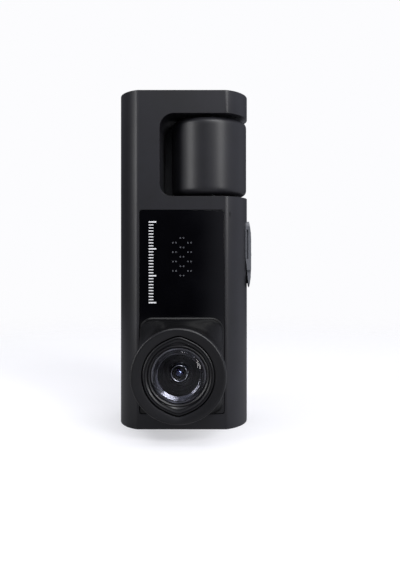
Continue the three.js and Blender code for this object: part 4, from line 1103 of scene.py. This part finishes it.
def floor():
    """Matt white sheet that fades into the white backdrop, so that no horizon shows."""
    bm = bmesh.new()
    bmesh.ops.create_grid(bm, x_segments=1, y_segments=1, size=1.2)
    bmesh.ops.translate(bm, verts=bm.verts, vec=(0, 0, -0.00002))
    mesh = bpy.data.meshes.new("floor")
    bm.to_mesh(mesh)
    bm.free()
    plane = bpy.data.objects.new("floor", mesh)
    bpy.context.collection.objects.link(plane)
    material, shader = new_material("matt_white_paper", "#c4c4c6", Roughness=0.9, Emission_Strength=0.44)
    shader.inputs["Emission Color"].default_value = linear("#fafafd")
    paper = grain(material, 0.5)
    worn(material, shader, paper, 0.85, 0.95)
    place = add_node(material, "ShaderNodeTexCoord")
    away = add_node(material, "ShaderNodeVectorMath", {"operation": "LENGTH"})
    link(material, place.outputs["Object"], away.inputs[0])
    fade = ranged(material, away.outputs["Value"], 0.07, 0.36, 0.0, 1.0)
    path = add_node(material, "ShaderNodeLightPath")
    seen = ranged(material, path.outputs["Is Camera Ray"], 0.0, 1.0, 0.75, 0.0)
    hidden = combined(material, fade, seen, "MAXIMUM")
    backdrop = add_node(material, "ShaderNodeBsdfTransparent")
    mix = add_node(material, "ShaderNodeMixShader")
    link(material, hidden, mix.inputs[0])
    link(material, shader.outputs["BSDF"], mix.inputs[1])
    link(material, backdrop.outputs["BSDF"], mix.inputs[2])
    link(material, mix.outputs["Shader"], material.node_tree.nodes["Material Output"].inputs["Surface"])
    mesh.materials.append(material)


def world():
    """White backdrop for the eye; the surfaces see a bright studio with a dark place round the viewer."""
    sky = bpy.data.worlds.new("studio")
    bpy.context.scene.world = sky
    sky.use_nodes = True
    sky.node_tree.nodes.clear()
    place = add_node(sky, "ShaderNodeTexCoord")
    split = add_node(sky, "ShaderNodeSeparateXYZ", {}, {"Vector": place.outputs["Generated"]})
    # A little light from behind, and a ceiling that grows brighter with height but not over the viewer.
    behind = ranged(sky, split.outputs["Y"], 0.1, 0.9, 0.0, 0.1)
    height = ranged(sky, split.outputs["Z"], 0.0, 0.7, 0.0, 0.6)
    front = ranged(sky, split.outputs["Y"], -0.7, 0.2, 1.0, 0.25)
    above = combined(sky, height, front, "MULTIPLY")
    # A wall at the far right, and a narrow strip just right of the viewer.
    side = ranged(sky, split.outputs["X"], 0.6, 0.95, 0.0, 0.55)
    right = ranged(sky, split.outputs["X"], -0.04, 0.02, 0.0, 0.35)
    right_end = ranged(sky, split.outputs["X"], 0.05, 0.16, 1.0, 0.1)
    strip = combined(sky, right, right_end, "MULTIPLY")
    total = combined(sky, combined(sky, behind, above), combined(sky, strip, side))
    room = add_node(sky, "ShaderNodeBackground", {"Color": linear("#eef0ff")}, {"Strength": total})
    eye = add_node(sky, "ShaderNodeBackground", {"Color": linear("#fcfcfe")})
    path = add_node(sky, "ShaderNodeLightPath")
    mix = add_node(sky, "ShaderNodeMixShader")
    output = add_node(sky, "ShaderNodeOutputWorld")
    link(sky, path.outputs["Is Camera Ray"], mix.inputs[0])
    link(sky, room.outputs["Background"], mix.inputs[1])
    link(sky, eye.outputs["Background"], mix.inputs[2])
    link(sky, mix.outputs["Shader"], output.inputs["Surface"])


def camera():
    data = bpy.data.cameras.new("camera")
    data.sensor_width = 36
    data.lens = VIEW_LENS
    data.shift_x = -0.035
    data.shift_y = -0.0605
    data.clip_start = 0.01
    eye = bpy.data.objects.new("camera", data)
    eye.location = (VIEW_X, -HALF_DEPTH * MM - VIEW_DISTANCE, VIEW_HEIGHT)
    eye.rotation_euler = (pi / 2, 0, 0)
    bpy.context.collection.objects.link(eye)
    bpy.context.scene.camera = eye


floor()
world()
softbox("left_box", (-0.5, -0.32, 0.2), (0, 0, 0.04), 0.14, 0.42, 1.4)
softbox("right_box", (0.36, -0.48, 0.25), (0, 0, 0.07), 0.1, 0.4, 1.3)
softbox("front_box", (0.22, -0.5, 0.55), (0, 0, 0.1), 0.45, 0.22, 2.4)
softbox("top_box", (0.0, 0.05, 0.8), (0, 0, 0.05), 0.7, 0.5, 3.2)
camera()
bpy.context.scene.view_settings.view_transform = "Standard"
